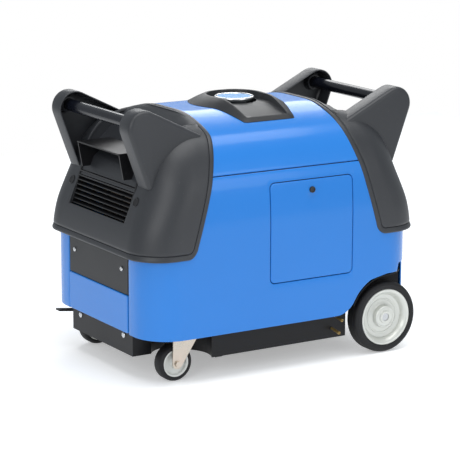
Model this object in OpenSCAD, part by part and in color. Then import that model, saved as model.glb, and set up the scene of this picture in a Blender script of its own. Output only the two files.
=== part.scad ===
// Wheeled inverter generator, closed case, three kilowatt class.
// Origin: floor, under the middle of the case. +X is the control end with the big wheels,
// -X is the exhaust end with the casters, -Y is the side with the service door.

/* [Case] */
// Length of the coloured case between its two ends
body_l = 640; // [530:5:770]
// Width of the coloured case
body_w = 444; // [370:2:534]
// Height of the crown of the top cover above the floor
body_top = 524; // [500:2:600]
// Plan radius of the case corners
corner_r = 75; // [50:5:90]
// Thickness of the coloured panels
skin_t = 2.5; // [2:0.5:4]
// Height of the seam between the side panels and the top cover
seam_z = 417; // [405:1:430]
// Height of the lower edge of the side panels
skirt_z = 96; // [85:1:104]
// Visible gap between neighbouring panels
panel_gap = 0.8; // [0.6:0.1:0.9]

/* [Hoods and handles] */
// How far the lip of each end hood stands out past the case
lip_out = 18; // [14:1:24]
// Height of the lower edge of the hood lip
lip_z = 258; // [245:1:265]
// Thickness of the hood moulding
hood_t = 3; // [2.5:0.5:4]
// Height of the top of the handle ears
ear_top = 553; // [545:1:640]
// Thickness of each handle ear
ear_t = 43; // [36:1:52]
// Clear width between the two ears of one handle
ear_inner = 250; // [210:2:300]
// Radius of the handle bars
bar_r = 12.5; // [10:0.5:15]

/* [Wheels] */
// Radius of the big rear wheels
wheel_r = 76; // [63:1:91]
// Width of the big tyres
tyre_w = 40; // [33:1:48]
// Radius of the rear axle
axle_r = 8; // [6.5:0.1:9.6]
// Radius of the caster wheels
caster_r = 37.5; // [31:0.5:40]
// Width of the caster tyres
caster_w = 30; // [25:1:34]
// Horizontal distance from the caster swivel to its wheel axle
caster_trail = 20; // [16:1:26]

/* [Door and controls] */
// Width of the service door
door_w = 199; // [166:1:239]
// Height of the service door
door_h = 205; // [171:1:215]
// Radius of the fuel cap
cap_r = 42.5; // [35:0.5:48]
// Radius of the round mains sockets
socket_r = 23; // [19:0.5:27]

/* [Engine] */
// Height of the crankshaft above the floor
crank_z = 150; // [145:1:170]
// Radius of the crankshaft
crank_r = 12.5; // [10.5:0.5:15]
// Radius of the flywheel rotor
rotor_r = 78; // [65:1:84]
// Length of the crankcase along the crankshaft
case_len = 140; // [117:1:150]

/* [Hidden] */
$fn = 64;

// Shared clearances
near_gap = 0.3;
run_gap = 0.05;
eps = 0.01;
half_l = body_l / 2;
half_w = body_w / 2;

// Case surface as horizontal rounded rectangles: height, length inset, width inset,
// corner radius lost, and how much of a wall offset also moves the section up
CASE_ROWS = [
    [skirt_z - 10, 0, 0, 0, 0],
    [310, 0, 0, 0, 0],
    [390, 26.5, 5.5, 1, 0],
    [430, 39.5, 17.5, 4, 0.3],
    [body_top - 59, 58.5, 35.5, 12, 0.5],
    [body_top - 32, 85.5, 61.5, 24, 0.7],
    [body_top - 12, 123.5, 111.5, 34, 0.9],
    [body_top, 168.5, 170, 48, 1]
];
// The hoods follow the case above the waist and swell to a lip below it
HOOD_ROWS = concat(
    [
        [lip_z - 2, 6 - lip_out, 0, 0, 0],
        [lip_z + 12, 3.5 - lip_out, 0, 0, 0],
        [321, -2.5, 0, 0, 0]
    ],
    [for (i = [2:7]) CASE_ROWS[i]]
);
hood_lift = 0.5;
hood_over = hood_lift + hood_t;

// Deck
deck_z = 108;
deck_t = 3;
deck_top = deck_z + deck_t;
deck_inset = skin_t + 0.8;

// Rear wheels
wheel_x = half_l - 73;
wheel_out = half_w - 4;
wheel_in = wheel_out - tyre_w;
rim_r = wheel_r - 16;
arch_gap = 14;
arch_t = 2.5;
arch_r = wheel_r + arch_gap;
arch_cut_r = arch_r + arch_t + 4.5;
arch_top = wheel_r + arch_r + arch_t;
rear_skirt_z = arch_top + 20;
arch_in = wheel_in - 10;
stay_y = arch_in - 14;
hub_r = 22;
fillet_r = 50;
fillet_z = skirt_z + fillet_r;
fillet_x = wheel_x - sqrt(pow(arch_cut_r + fillet_r, 2) - pow(fillet_z - wheel_r, 2));

// Casters
caster_x = -half_l + 101;
caster_y = half_w - 60;
caster_axle_x = caster_x - caster_trail;
plate_t = 3;
race_h = 9;
fork_top = deck_z - plate_t - race_h;
fork_t = 2.5;
fork_gap = 2;
fork_half = caster_w / 2 + fork_gap + fork_t;
bolt_r = 4;
kingpin_r = 5;
brake_x = -24;
brake_z = fork_top - 8;
brake_pin_r = 3;
brake_len = 88;
caster_swing = caster_trail + caster_r + 3.5;

// Base
tray_z = 43;
tray_t = 3;
tray_front = -half_l + 144;
tray_rear = wheel_x - wheel_r - 11;
tray_half_w = half_w - 29;
nose_half_w = caster_y - 34;
nose_front = -half_l + 8;
nose_z = 50;
nose_screw_y = 92;
nose_screw_z = 87;

// Ears and handle bars
ear_in = ear_inner / 2;
ear_out = ear_in + ear_t;
ear_wall = 3.5;
ear_nose_r = 36;
ear_nose_x = half_l - 18;
ear_nose_z = ear_top - ear_nose_r;
bar_x = half_l - 15;
bar_z = ear_top - 31;
well_top_x = half_l - 160;
well_bend_x = half_l - 83;
well_bend_z = 458;
well_low_x = half_l - 20;
well_low_z = 408;
opening_z = 321;
opening_half = ear_in - 6;

// Hood edge over the case, seen from the side
hood_edge_top = half_l - 170;
hood_edge_low = half_l - 107;
hood_edge_r = 25;
hood_lap = 8;
end_half = 125;
bumper_z = 176;

// Fuel filler
cap_x = 4;
cap_top = body_top + 13;
cap_t = 9;
rim_top = body_top + 17;
neck_r = cap_r - 14;
filler_hole_r = cap_r + 11;
tank_low = 345;
tank_drop = 11;
tank_front = -130;
tank_rear = 150;
stay_w = 12;

// Service door
door_x = 55;
door_low = 186;
door_r = 10;
latch_z = door_low + door_h - 21;
latch_y = -half_w - 0.6 + CASE_ROWS[2][2] * (latch_z - CASE_ROWS[1][0]) / (CASE_ROWS[2][0] - CASE_ROWS[1][0]);
latch_r = 6.5;
latch_stem_r = 3;
latch_proud = 4;

// Engine line along X
block_rear = 30;
block_front = block_rear - case_len;
block_half = 85;
mount_h = 18;
port_y = 72;
filter_out = half_w - 34;
carb_len = (filter_out - port_y) * 33 / 58;
filter_t = filter_out - port_y - carb_len;
block_low = tray_z + tray_t + mount_h;
block_top = crank_z + 75;
head_top = block_top + 95;
stator_r = rotor_r - 14;
stator_len = 52;
rotor_in = block_rear + 12;
rotor_len = 62;
shroud_r = rotor_r + 7;
shroud_end = rotor_in + rotor_len + 26;
shroud_t = 2.5;
pulley_x = shroud_end + 12;
pulley_w = 16;
rope_run_r = 45;
rope_r = 2.5;
rope_in_y = -150;
rope_z = crank_z + rope_run_r;
grip_r = 16;
grip_proud = 3;

// Exhaust
muffler_front = -half_l + 62;
muffler_rear = block_front - 45;
muffler_low = 250;
muffler_top = 398;
muffler_half = 88;

// Control panel, just behind the leaning hood face and parallel to it
panel_lean = (HOOD_ROWS[3][1] - HOOD_ROWS[2][1]) / (HOOD_ROWS[3][0] - HOOD_ROWS[2][0]);
panel_tilt = atan(panel_lean);
panel_low_z = opening_z - 3;
panel_low_x = half_l - HOOD_ROWS[2][1] + hood_lift - 0.8 + 3 * panel_lean;
panel_h = 92;
panel_half = opening_half + 4;
panel_t = 4;
lamp_r = 4;
button_r = 6;
key_r = 9;
knob_r = 11;

// Rear deck
battery_l = 87;
battery_w = arch_in - 18;
battery_h = 93;
rear_pack_x = half_l - 28;

// Rounded rectangle centred on the origin
module round_rect(length, width, radius) {
    hull()
        for (sx = [-1, 1], sy = [-1, 1])
            translate([sx * (length / 2 - radius), sy * (width / 2 - radius)])
                circle(r = radius);
}

// Rounded rectangle built from true arcs
module arc_rect(length, width, radius) {
    square([length - 2 * radius, width], center = true);
    square([length, width - 2 * radius], center = true);
    for (sx = [-1, 1], sy = [-1, 1])
        translate([sx * (length / 2 - radius), sy * (width / 2 - radius)])
            circle(r = radius);
}

// Smooth closed volume through a list of rounded rectangles, moved out by grow
module loft(rows, grow) {
    hull()
        for (row = rows, sx = [-1, 1], sy = [-1, 1]) {
            r = corner_r - row[3] + grow;
            px = half_l - row[1] + grow - r;
            py = half_w - row[2] + grow - r;
            translate([sx * px, sy * py, row[0] + grow * row[4]])
                cylinder(r = r, h = 0.2, $fn = 24);
        }
}

module case_skin(outer, inner) {
    difference() {
        loft(CASE_ROWS, outer);
        loft(CASE_ROWS, inner);
    }
}

// Side view shapes are drawn in X and Z and pushed through the whole width
module across(width) {
    rotate([90, 0, 0])
        translate([0, 0, -width / 2])
            linear_extrude(width)
                children();
}

// Side view area hidden under one hood; lap moves the edge outward
module hood_area(lap) {
    low_x = hood_edge_low + lap;
    top_x = hood_edge_top + lap;
    low_z = lip_z + lap;
    polygon(concat(
        [[top_x, body_top + 60], [top_x, body_top - 32]],
        [for (a = [0:15:75])
            [low_x + hood_edge_r * (1 - cos(a)), low_z + hood_edge_r * (1 - sin(a))]],
        [[low_x + hood_edge_r, low_z], [half_l + 90, low_z], [half_l + 90, body_top + 60]]
    ));
}

// Everything that a side panel leaves open round the rear wheel
module arch_area() {
    translate([wheel_x, wheel_r]) circle(r = arch_cut_r);
    translate([wheel_x, 0]) square([half_l, arch_top + 3]);
    translate([wheel_x + 32, 0]) square([half_l, rear_skirt_z]);
    difference() {
        polygon([
            [fillet_x, 0],
            [fillet_x, fillet_z],
            [wheel_x, fillet_z],
            [wheel_x, 0]
        ]);
        translate([fillet_x, fillet_z]) circle(r = fillet_r);
        translate([fillet_x, fillet_z])
            rotate(atan2(wheel_r - fillet_z, wheel_x - fillet_x))
                square([2 * half_l, half_l]);
    }
}

module side_panel_blank() {
    difference() {
        case_skin(0, -skin_t);
        // the other side and the top
        translate([-body_l, 0, 0]) cube([2 * body_l, body_w, body_top * 2]);
        translate([-body_l, -body_w, seam_z - panel_gap / 2]) cube([2 * body_l, 2 * body_w, body_top]);
        translate([-body_l, -body_w, 0]) cube([2 * body_l, 2 * body_w, skirt_z]);
        // the middle of both ends
        translate([-body_l, -end_half, 0]) cube([2 * body_l, body_w, body_top]);
        across(2 * body_w) hood_area(hood_lap);
        across(2 * body_w) mirror([1, 0]) hood_area(hood_lap);
        across(2 * body_w) arch_area();
    }
}

module door_window(clear) {
    translate([door_x, 0, door_low + door_h / 2])
        rotate([90, 0, 0])
            linear_extrude(body_w)
                arc_rect(door_w + 2 * clear, door_h + 2 * clear, door_r + clear);
}

// ---------------------------------------------------------------- frame

module deck_outline() {
    difference() {
        arc_rect(body_l - 2 * deck_inset, body_w - 2 * deck_inset, corner_r + 4);
        for (s = [-1, 1])
            translate([half_l - 100, s * (arch_in + half_w)])
                square([2 * (half_l - tray_rear) - 2 * 100 + 110, 2 * half_w], center = true);
        translate([(tray_front + tray_rear) / 2, 0])
            square([tray_rear - tray_front - 8, 2 * stay_y - 40], center = true);
    }
}

// Leaves room for the casters to swing right round
module clear_of_casters(grow) {
    difference() {
        children();
        for (s = [-1, 1])
            translate([caster_x, s * caster_y, 0]) cylinder(r = caster_swing + grow, h = deck_z + 2);
    }
}

module hollow_box(low, size, wall) {
    difference() {
        clear_of_casters(0)
            translate(low) cube(size);
        clear_of_casters(wall)
            translate([low[0] + wall, low[1] + wall, low[2] + wall])
                cube([size[0] - 2 * wall, size[1] - 2 * wall, size[2]]);
    }
}

module base_frame() {
    color("#26262a")
        difference() {
            union() {
                translate([0, 0, deck_z]) linear_extrude(deck_t) deck_outline();
                // main tray, and the narrow nose between the casters
                hollow_box([tray_front, -tray_half_w, tray_z],
                    [tray_rear - tray_front, 2 * tray_half_w, deck_z - tray_z + 1], tray_t);
                hollow_box([nose_front, -nose_half_w, nose_z],
                    [tray_front - nose_front + tray_t, 2 * nose_half_w, deck_z - nose_z + 1], tray_t);
                // skid shoes, behind the swing of each caster
                for (s = [-1, 1])
                    translate([tray_front + 18, s * (tray_half_w - 8) - 8, tray_z - 1]) cube([17, 16, 2]);
                // axle brackets
                for (s = [-1, 1])
                    translate([wheel_x - 25, s * (arch_in - 24) - 3, wheel_r - 20])
                        cube([50, 6, deck_z - wheel_r + 21]);
                // stays that carry the tank
                for (x = [tank_front - 8, tank_rear + 8], s = [-1, 1])
                    translate([x - stay_w / 2, s * stay_y - stay_w / 2, deck_z])
                        cube([stay_w, stay_w, tank_low - near_gap - deck_z]);
            }
            // axle bores
            translate([wheel_x, body_w, wheel_r]) rotate([90, 0, 0])
                cylinder(r = axle_r + near_gap, h = 2 * body_w);
            // screw holes in the nose
            for (s = [-1, 1])
                translate([nose_front, s * nose_screw_y, nose_screw_z]) rotate([0, 90, 0])
                    cylinder(r = 3.4, h = 20, center = true);
            // fixing holes in the tray floor
            for (x = [-1, 1], y = [-1, 1])
                translate([x * 100 - 20, y * 150, tray_z - 1]) cylinder(r = 4.5, h = tray_t + 2);
            // drain slots
            for (x = [-60:40:60])
                translate([x - 32, -12, tray_z - 1]) cube([6, 24, tray_t + 2]);
        }
}

module arch_profile(r, rear, top) {
    intersection() {
        union() {
            translate([wheel_x, wheel_r]) circle(r = r);
            translate([wheel_x, wheel_r]) square([rear - wheel_x, top - wheel_r]);
        }
        translate([wheel_x - r, deck_top + near_gap]) square([rear - wheel_x + r, body_top]);
    }
}

module arch_liner() {
    rear = half_l - skin_t - 3.5;
    y_out = half_w - skin_t - 0.7;
    difference() {
        translate([0, -arch_in, 0])
            rotate([90, 0, 0])
                linear_extrude(y_out - arch_in)
                    arch_profile(arch_r + arch_t, rear, arch_top);
        translate([0, -arch_in - arch_t, 0])
            rotate([90, 0, 0])
                linear_extrude(y_out)
                    arch_profile(arch_r, rear - arch_t, arch_top - arch_t);
        translate([0, -arch_in - arch_t, 0])
            rotate([90, 0, 0])
                linear_extrude(y_out)
                    translate([wheel_x, 0]) square([half_l, wheel_r + 52]);
        // rounded with the case corner
        difference() {
            translate([wheel_x, -body_w, 0]) cube([half_l, body_w, body_top]);
            translate([0, 0, deck_top]) linear_extrude(body_top)
                arc_rect(body_l - 2 * deck_inset, body_w - 2 * deck_inset, corner_r + 4);
        }
    }
}

module arch_liners() {
    color("#1f2022")
        for (s = [0, 1])
            mirror([0, s, 0]) arch_liner();
}

// ---------------------------------------------------------------- coloured case

module side_panel_near() {
    color("#3488dc")
        difference() {
            side_panel_blank();
            door_window(panel_gap);
        }
}

module side_panel_far() {
    color("#3488dc")
        difference() {
            mirror([0, 1, 0]) side_panel_blank();
            translate([pulley_x, half_w + 20, rope_z]) rotate([90, 0, 0])
                cylinder(r = grip_r + 14.5, h = 60);
            for (z = [0:4])
                translate([-110, half_w - 20, 220 + 22 * z]) cube([120, 40, 9]);
        }
}

module top_cover() {
    color("#3c90e4")
        difference() {
            case_skin(0, -skin_t);
            translate([-body_l, -body_w, 0])
                cube([2 * body_l, 2 * body_w, seam_z + panel_gap / 2]);
            across(2 * body_w) hood_area(hood_lap);
            across(2 * body_w) mirror([1, 0]) hood_area(hood_lap);
            translate([cap_x, 0, 0]) cylinder(r = filler_hole_r, h = 2 * body_top);
        }
}

module end_piece(outer, inner, half, low, high) {
    intersection() {
        case_skin(outer, inner);
        translate([-half_l - 20, -half, low]) cube([50, 2 * half, high - low]);
    }
}

module front_bumper() {
    color("#3480d2")
        end_piece(1.5, -skin_t, end_half - panel_gap, skirt_z + 2, bumper_z);
}

module front_panel() {
    color("#2f3234")
        difference() {
            end_piece(0, -skin_t, end_half - panel_gap, bumper_z + panel_gap, lip_z + 14);
            for (s = [-1, 1])
                translate([-half_l, s * 100, 227]) rotate([0, 90, 0])
                    cylinder(r = 3.2, h = 20, center = true);
        }
}

module rear_bumper() {
    color("#3480d2")
        mirror([1, 0, 0])
            end_piece(1.5, -skin_t, arch_in, deck_top + 0.5, rear_skirt_z - panel_gap);
}

module rear_grille() {
    color("#2f3234")
        mirror([1, 0, 0])
            difference() {
                end_piece(0, -skin_t, end_half - panel_gap, rear_skirt_z, lip_z + 14);
                for (i = [-5:5])
                    translate([-half_l - 10, i * 20 - 6, rear_skirt_z + 10])
                        cube([30, 12, lip_z - rear_skirt_z - 18]);
            }
}

// ---------------------------------------------------------------- hoods

module ear_outline(wall) {
    hull() {
        translate([ear_nose_x, ear_nose_z]) circle(r = ear_nose_r - wall, $fn = 48);
        translate([half_l - 37, 405]) circle(r = 15 - wall, $fn = 32);
        translate([half_l - 145, body_top - 44]) circle(r = 13 - wall, $fn = 32);
    }
}

// One ear, open towards the bar, with a socket for the end of the bar
module ear() {
    difference() {
        translate([0, ear_out, 0]) rotate([90, 0, 0]) linear_extrude(ear_t) ear_outline(0);
        translate([0, ear_out - ear_wall, 0]) rotate([90, 0, 0]) linear_extrude(ear_t) ear_outline(ear_wall);
    }
    translate([bar_x, ear_out - ear_wall + eps, bar_z]) rotate([90, 0, 0])
        difference() {
            cylinder(r = bar_r + 4, h = 16);
            translate([0, 0, -1]) cylinder(r = bar_r + run_gap, h = 18);
        }
}

// Floor line of the sunk well between the ears, seen from the side
function well_line(drop) = [
    [well_top_x - 3, body_top + 8 - drop],
    [well_bend_x, well_bend_z - drop],
    [well_low_x, well_low_z - drop]
];

module well_sheet() {
    low = well_line(hood_t);
    polygon(concat(well_line(0), [low[2], low[1], low[0]]));
}

// Everything above the floor line
module well_area(front_x) {
    line = well_line(hood_t / 2);
    polygon([
        [front_x, line[0][1]],
        line[1],
        line[2],
        [half_l + 90, line[2][1]],
        [half_l + 90, body_top + 90],
        [front_x, body_top + 90]
    ]);
}

module hood() {
    difference() {
        union() {
            difference() {
                intersection() {
                    loft(HOOD_ROWS, hood_over);
                    across(2 * body_w) hood_area(0);
                }
                loft(HOOD_ROWS, hood_lift);
                across(2 * ear_in + 4) well_area(well_top_x);
            }
            intersection() {
                union() {
                    across(2 * ear_in + 5) well_sheet();
                    for (s = [-1, 1])
                        across_at(s * (ear_in + 2.1), hood_t) well_area(well_top_x + 2);
                }
                loft(HOOD_ROWS, hood_over - near_gap);
            }
            for (s = [0, 1])
                mirror([0, s, 0]) ear();
        }
        // the window below the well
        translate([half_l - 90, -opening_half, opening_z])
            cube([120, 2 * opening_half, well_low_z - opening_z - 6]);
        // countersinks for the two screws at the corners
        for (s = [-1, 1])
            translate([half_l - 8, s * (ear_in + 10), 366])
                rotate([0, 90, 0]) cylinder(r = 5, h = 80, center = true);
    }
}

module exhaust_hood() {
    color("#3f4246")
        mirror([1, 0, 0])
            difference() {
                hood();
                // mouth under the visor
                translate([well_bend_x + 4, -88.5, well_low_z - 10]) cube([90, 177, 64]);
            }
}

module control_hood() {
    color("#3f4246") hood();
}

module exhaust_louvre() {
    slats = 8;
    pitch = (well_low_z - opening_z - 14) / slats;
    lean = 0.33;
    color("#232426")
        mirror([1, 0, 0]) {
            for (i = [0:slats - 1])
                translate([half_l - 12 - lean * i * pitch, -opening_half + 2, opening_z + 4 + i * pitch])
                    cube([12, 2 * opening_half - 4, 3]);
            for (s = [-1, 1])
                across_at(s * (opening_half - 3), 5)
                    polygon([
                        [half_l - 14, opening_z + 1],
                        [half_l + 1, opening_z + 1],
                        [half_l + 1 - lean * 80, opening_z + 79],
                        [half_l - 14 - lean * 80, opening_z + 79]
                    ]);
            for (y = [-60, 0, 60])
                across_at(y, 3)
                    polygon([
                        [half_l - 16, opening_z + 3],
                        [half_l - 8, opening_z + 3],
                        [half_l - 8 - lean * 76, opening_z + 77],
                        [half_l - 16 - lean * 76, opening_z + 77]
                    ]);
        }
}

// Side view shape pushed through a width round a given Y
module across_at(y, width) {
    translate([0, y, 0]) across(width) children();
}

module exhaust_visor() {
    plate_half = 88;
    color("#3a3c40")
        mirror([1, 0, 0]) {
            translate([well_bend_x + 4.3, -plate_half, well_bend_z - 4])
                cube([half_l - 5.3 - well_bend_x, 2 * plate_half, 3]);
            for (s = [-1, 1])
                across_at(s * (plate_half - 1.25), 2.5)
                    polygon([
                        [well_bend_x + 5, well_bend_z - 2],
                        [half_l - 2, well_bend_z - 2],
                        [well_low_x + 8, well_low_z - 5],
                        [well_low_x - 20, well_low_z - 5]
                    ]);
        }
}

module handle_bars() {
    length = 2 * (ear_out - ear_wall - near_gap);
    color("#151617")
        for (s = [-1, 1])
            translate([s * bar_x, length / 2, bar_z]) rotate([90, 0, 0])
                cylinder(r = bar_r, h = length);
}

// ---------------------------------------------------------------- fuel

module cap_surround() {
    front_y = -128;
    floor_t = 2.8;
    color("#303338")
        difference() {
            union() {
                difference() {
                    hull() {
                        translate([cap_x, 0, rim_top - 1]) cylinder(r = filler_hole_r + 6, h = 1);
                        translate([cap_x, 0, body_top - 16]) cylinder(r = filler_hole_r + 28, h = 1);
                        for (s = [-1, 1])
                            translate([cap_x + s * 56, front_y + 4, body_top - 26]) cylinder(r = 4, h = 2, $fn = 16);
                    }
                    // scoop, with a floor that follows the cover
                    difference() {
                        hull() {
                            translate([cap_x, 0, body_top]) cylinder(r = filler_hole_r + 2, h = 30);
                            for (s = [-1, 1])
                                translate([cap_x + s * 47, front_y + 8, body_top - 20])
                                    cylinder(r = 3, h = 50, $fn = 16);
                        }
                        loft(CASE_ROWS, floor_t);
                    }
                    loft(CASE_ROWS, near_gap);
                }
                translate([cap_x, 0, body_top - tank_drop + 2 * near_gap])
                    cylinder(r = filler_hole_r - near_gap, h = tank_drop + 2);
            }
            translate([cap_x, 0, body_top - 50]) cylinder(r = filler_hole_r - 4, h = 100);
        }
}

module cap_seal() {
    color("#1b1b1c")
        translate([cap_x, 0, cap_top - cap_t - 12])
            difference() {
                cylinder(r = neck_r - 2.5, h = 12);
                translate([0, 0, -1]) cylinder(r = neck_r - 7, h = 10);
            }
}

module fuel_cap() {
    color("#4aa0e6")
        translate([cap_x, 0, cap_top - cap_t + near_gap])
            rotate_extrude()
                polygon([
                    [0, 0],
                    [cap_r - 5, 0],
                    [cap_r - 1, 2],
                    [cap_r, 4.5],
                    [cap_r, 7],
                    [cap_r - 1.5, cap_t - near_gap],
                    [cap_r - 4, cap_t - near_gap],
                    [cap_r - 6, cap_t - 1.5],
                    [0, cap_t - 1]
                ]);
}

module tank_volume(grow) {
    intersection() {
        loft(CASE_ROWS, grow - tank_drop);
        translate([tank_front - grow, -body_w, tank_low - grow])
            cube([tank_rear - tank_front + 2 * grow, 2 * body_w, body_top]);
    }
}

module fuel_tank() {
    neck_top = cap_top - cap_t - near_gap;
    color("#5b6064")
        difference() {
            union() {
                tank_volume(0);
                translate([cap_x, 0, body_top - 30]) cylinder(r = neck_r, h = neck_top - body_top + 30);
                // lugs that rest on the stays
                for (x = [tank_front - 8, tank_rear + 8], s = [-1, 1])
                    translate([x - 14, s * stay_y - 10, tank_low]) cube([28, 20, 4]);
            }
            tank_volume(-2.5);
            translate([cap_x, 0, body_top - 60]) cylinder(r = neck_r - 2.2, h = 100);
        }
}

// ---------------------------------------------------------------- service door

module service_door() {
    color("#358bdf")
        difference() {
            intersection() {
                case_skin(0, -skin_t);
                door_window(0);
                translate([-half_l, -body_w, 0]) cube([body_l, body_w, body_top]);
            }
            translate([door_x, -half_w + 30, latch_z]) rotate([90, 0, 0])
                cylinder(r = latch_stem_r + run_gap, h = 60);
        }
}

module door_latch() {
    color("#1a1a1b")
        translate([door_x, latch_y - latch_proud, latch_z]) rotate([-90, 0, 0]) {
            difference() {
                cylinder(r = latch_r, h = latch_proud - 0.1);
                translate([-5, -0.8, -1]) cube([10, 1.6, 2.2]);
            }
            cylinder(r = latch_stem_r, h = latch_proud + skin_t + 3.5);
            translate([-4, -10, latch_proud + skin_t + 1.8]) cube([8, 20, 2.5]);
        }
}

// ---------------------------------------------------------------- hand starter

module recoil_cup() {
    color("#26282a")
        translate([pulley_x, half_w + 0.6, rope_z]) rotate([90, 0, 0])
            difference() {
                union() {
                    cylinder(r = grip_r + 14, h = 22);
                    cylinder(r = grip_r + 18, h = 0.5);
                }
                translate([0, 0, -1]) cylinder(r = grip_r + 11, h = 20.5);
                cylinder(r = rope_r + 1.5, h = 60, center = true);
            }
}

module recoil_grip() {
    color("#1b1c1d")
        translate([pulley_x, half_w + grip_proud, rope_z]) rotate([90, 0, 0]) {
            intersection() {
                cylinder(r = grip_r, h = 16);
                translate([-grip_r, -9, 0]) cube([2 * grip_r, 18, 16]);
            }
            cylinder(r = rope_r, h = half_w + grip_proud - rope_in_y);
        }
}

module recoil_pulley() {
    color("#35373a")
        translate([pulley_x, 0, crank_z]) rotate([0, 90, 0])
            rotate_extrude()
                polygon([
                    [6 + run_gap, -pulley_w / 2],
                    [rope_run_r + 6, -pulley_w / 2],
                    [rope_run_r + 6, -rope_r - 1.5],
                    [rope_run_r - 2.8, -rope_r - 0.8],
                    [rope_run_r - 2.8, rope_r + 0.8],
                    [rope_run_r + 6, rope_r + 1.5],
                    [rope_run_r + 6, pulley_w / 2],
                    [6 + run_gap, pulley_w / 2]
                ]);
}

module fan_shroud() {
    color("#2b2d2f")
        difference() {
            translate([0, 0, crank_z]) rotate([0, 90, 0])
                rotate_extrude()
                    polygon([
                        [shroud_r, block_rear],
                        [shroud_r + shroud_t, block_rear],
                        [shroud_r + shroud_t, shroud_end],
                        [16, shroud_end],
                        [16, shroud_end + 1.5],
                        [6, shroud_end + 1.5],
                        [6, pulley_x + pulley_w / 2 + 2],
                        [0, pulley_x + pulley_w / 2 + 2],
                        [0, shroud_end - shroud_t],
                        [shroud_r, shroud_end - shroud_t]
                    ]);
            // air slots in the end wall
            for (a = [0:30:330])
                translate([shroud_end - 10, 0, crank_z]) rotate([a, 0, 0])
                    translate([0, -5, 34]) cube([20, 10, shroud_r - 46]);
        }
}

// ---------------------------------------------------------------- rear wheels

module rear_axle() {
    length = 2 * (wheel_out - 3);
    color("#2c2c2e")
        translate([wheel_x, length / 2, wheel_r]) rotate([90, 0, 0]) {
            cylinder(r = axle_r, h = length);
            // collars inside the wheels
            for (z = [length / 2 - wheel_in + 1, length / 2 + wheel_in - 5])
                translate([0, 0, z]) cylinder(r = axle_r + 4, h = 4);
        }
    // spring clips outside the wheels
    color("#3a3a3c")
        for (s = [-1, 1])
            translate([wheel_x, s * (wheel_out - 6.5), wheel_r]) rotate([90, 0, 0])
                cylinder(r = axle_r + 2.5, h = 1.4, center = true);
}

module wheel_tyre() {
    w = tyre_w / 2;
    rotate([90, 0, 0])
        rotate_extrude($fn = 96)
            polygon([
                [rim_r, -w + 2],
                [wheel_r - 8, -w],
                [wheel_r - 2, -w + 4],
                [wheel_r, -w + 10],
                [wheel_r, w - 10],
                [wheel_r - 2, w - 4],
                [wheel_r - 8, w],
                [rim_r, w - 2]
            ]);
}

module wheel_rim() {
    w = tyre_w / 2;
    rotate([90, 0, 0])
        rotate_extrude($fn = 96)
            polygon([
                [axle_r + run_gap, -w + 1],
                [hub_r, -w + 1],
                [hub_r, -3],
                [rim_r - 14, -3],
                [rim_r - 3, -w + 1],
                [rim_r, -w + 1],
                [rim_r, w - 1],
                [rim_r - 3, w - 1],
                [rim_r - 14, 1],
                [hub_r, 1],
                [hub_r, w - 7.5],
                [axle_r + run_gap, w - 7.5]
            ]);
}

module at_wheel(side) {
    translate([wheel_x, side * (wheel_out - tyre_w / 2), wheel_r])
        rotate([0, 0, side > 0 ? 180 : 0])
            children();
}

module near_tyre() { color("#202022") at_wheel(-1) wheel_tyre(); }
module near_rim() { color("#d8d8d2") at_wheel(-1) wheel_rim(); }
module far_tyre() { color("#202022") at_wheel(1) wheel_tyre(); }
module far_rim() { color("#d8d8d2") at_wheel(1) wheel_rim(); }

// ---------------------------------------------------------------- casters

module caster_plate() {
    half = 38;
    translate([0, 0, deck_z - plate_t])
        linear_extrude(plate_t)
            difference() {
                arc_rect(2 * half, 2 * half - 10, 6);
                for (sx = [-1, 1], sy = [-1, 1])
                    translate([sx * (half - 8), sy * (half - 13)]) circle(r = 3.3);
            }
    translate([0, 0, deck_z - plate_t - race_h + near_gap])
        difference() {
            cylinder(r = 24, h = race_h);
            translate([0, 0, -1]) cylinder(r = kingpin_r + 4, h = race_h - 1);
        }
    translate([0, 0, fork_top - 6]) cylinder(r = kingpin_r, h = race_h + 7);
}

module caster_plates() {
    color("#b9b6a4")
        for (s = [-1, 1])
            translate([caster_x, s * caster_y, 0]) caster_plate();
}

// Side plate of the fork, in X and Z round the swivel axis
module fork_side(brake) {
    difference() {
        hull() {
            translate([-30, fork_top - 3]) square([60, 3]);
            translate([-caster_trail, caster_r]) circle(r = 11);
        }
        translate([-caster_trail, caster_r]) circle(r = bolt_r + run_gap);
        if (brake) translate([brake_x, brake_z]) circle(r = brake_pin_r + run_gap);
    }
}

module caster_fork(brake) {
    difference() {
        translate([-30, -fork_half, fork_top - fork_t]) cube([60, 2 * fork_half, fork_t]);
        translate([0, 0, fork_top - 10]) cylinder(r = kingpin_r + run_gap, h = 20);
    }
    for (y = [-fork_half, fork_half - fork_t])
        translate([0, y + fork_t, 0]) rotate([90, 0, 0]) linear_extrude(fork_t) fork_side(brake);
    // axle bolt with its head and nut
    translate([-caster_trail, fork_half + 4, caster_r]) rotate([90, 0, 0]) {
        cylinder(r = bolt_r, h = 2 * fork_half + 8);
        cylinder(r = 6.5, h = 4 - eps, $fn = 6);
        translate([0, 0, 2 * fork_half + 4 + eps]) cylinder(r = 6.5, h = 4 - eps, $fn = 6);
    }
}

module caster_rim() {
    w = caster_w / 2;
    rotate([90, 0, 0])
        rotate_extrude()
            polygon([
                [bolt_r + run_gap, -w - fork_gap + 0.5],
                [9, -w - fork_gap + 0.5],
                [11, -6],
                [caster_r - 14, -6],
                [caster_r - 12, -w + 2],
                [caster_r - 9, -w + 2],
                [caster_r - 9, w - 2],
                [caster_r - 12, w - 2],
                [caster_r - 14, 6],
                [11, 6],
                [9, w + fork_gap - 0.5],
                [bolt_r + run_gap, w + fork_gap - 0.5]
            ]);
}

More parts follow.
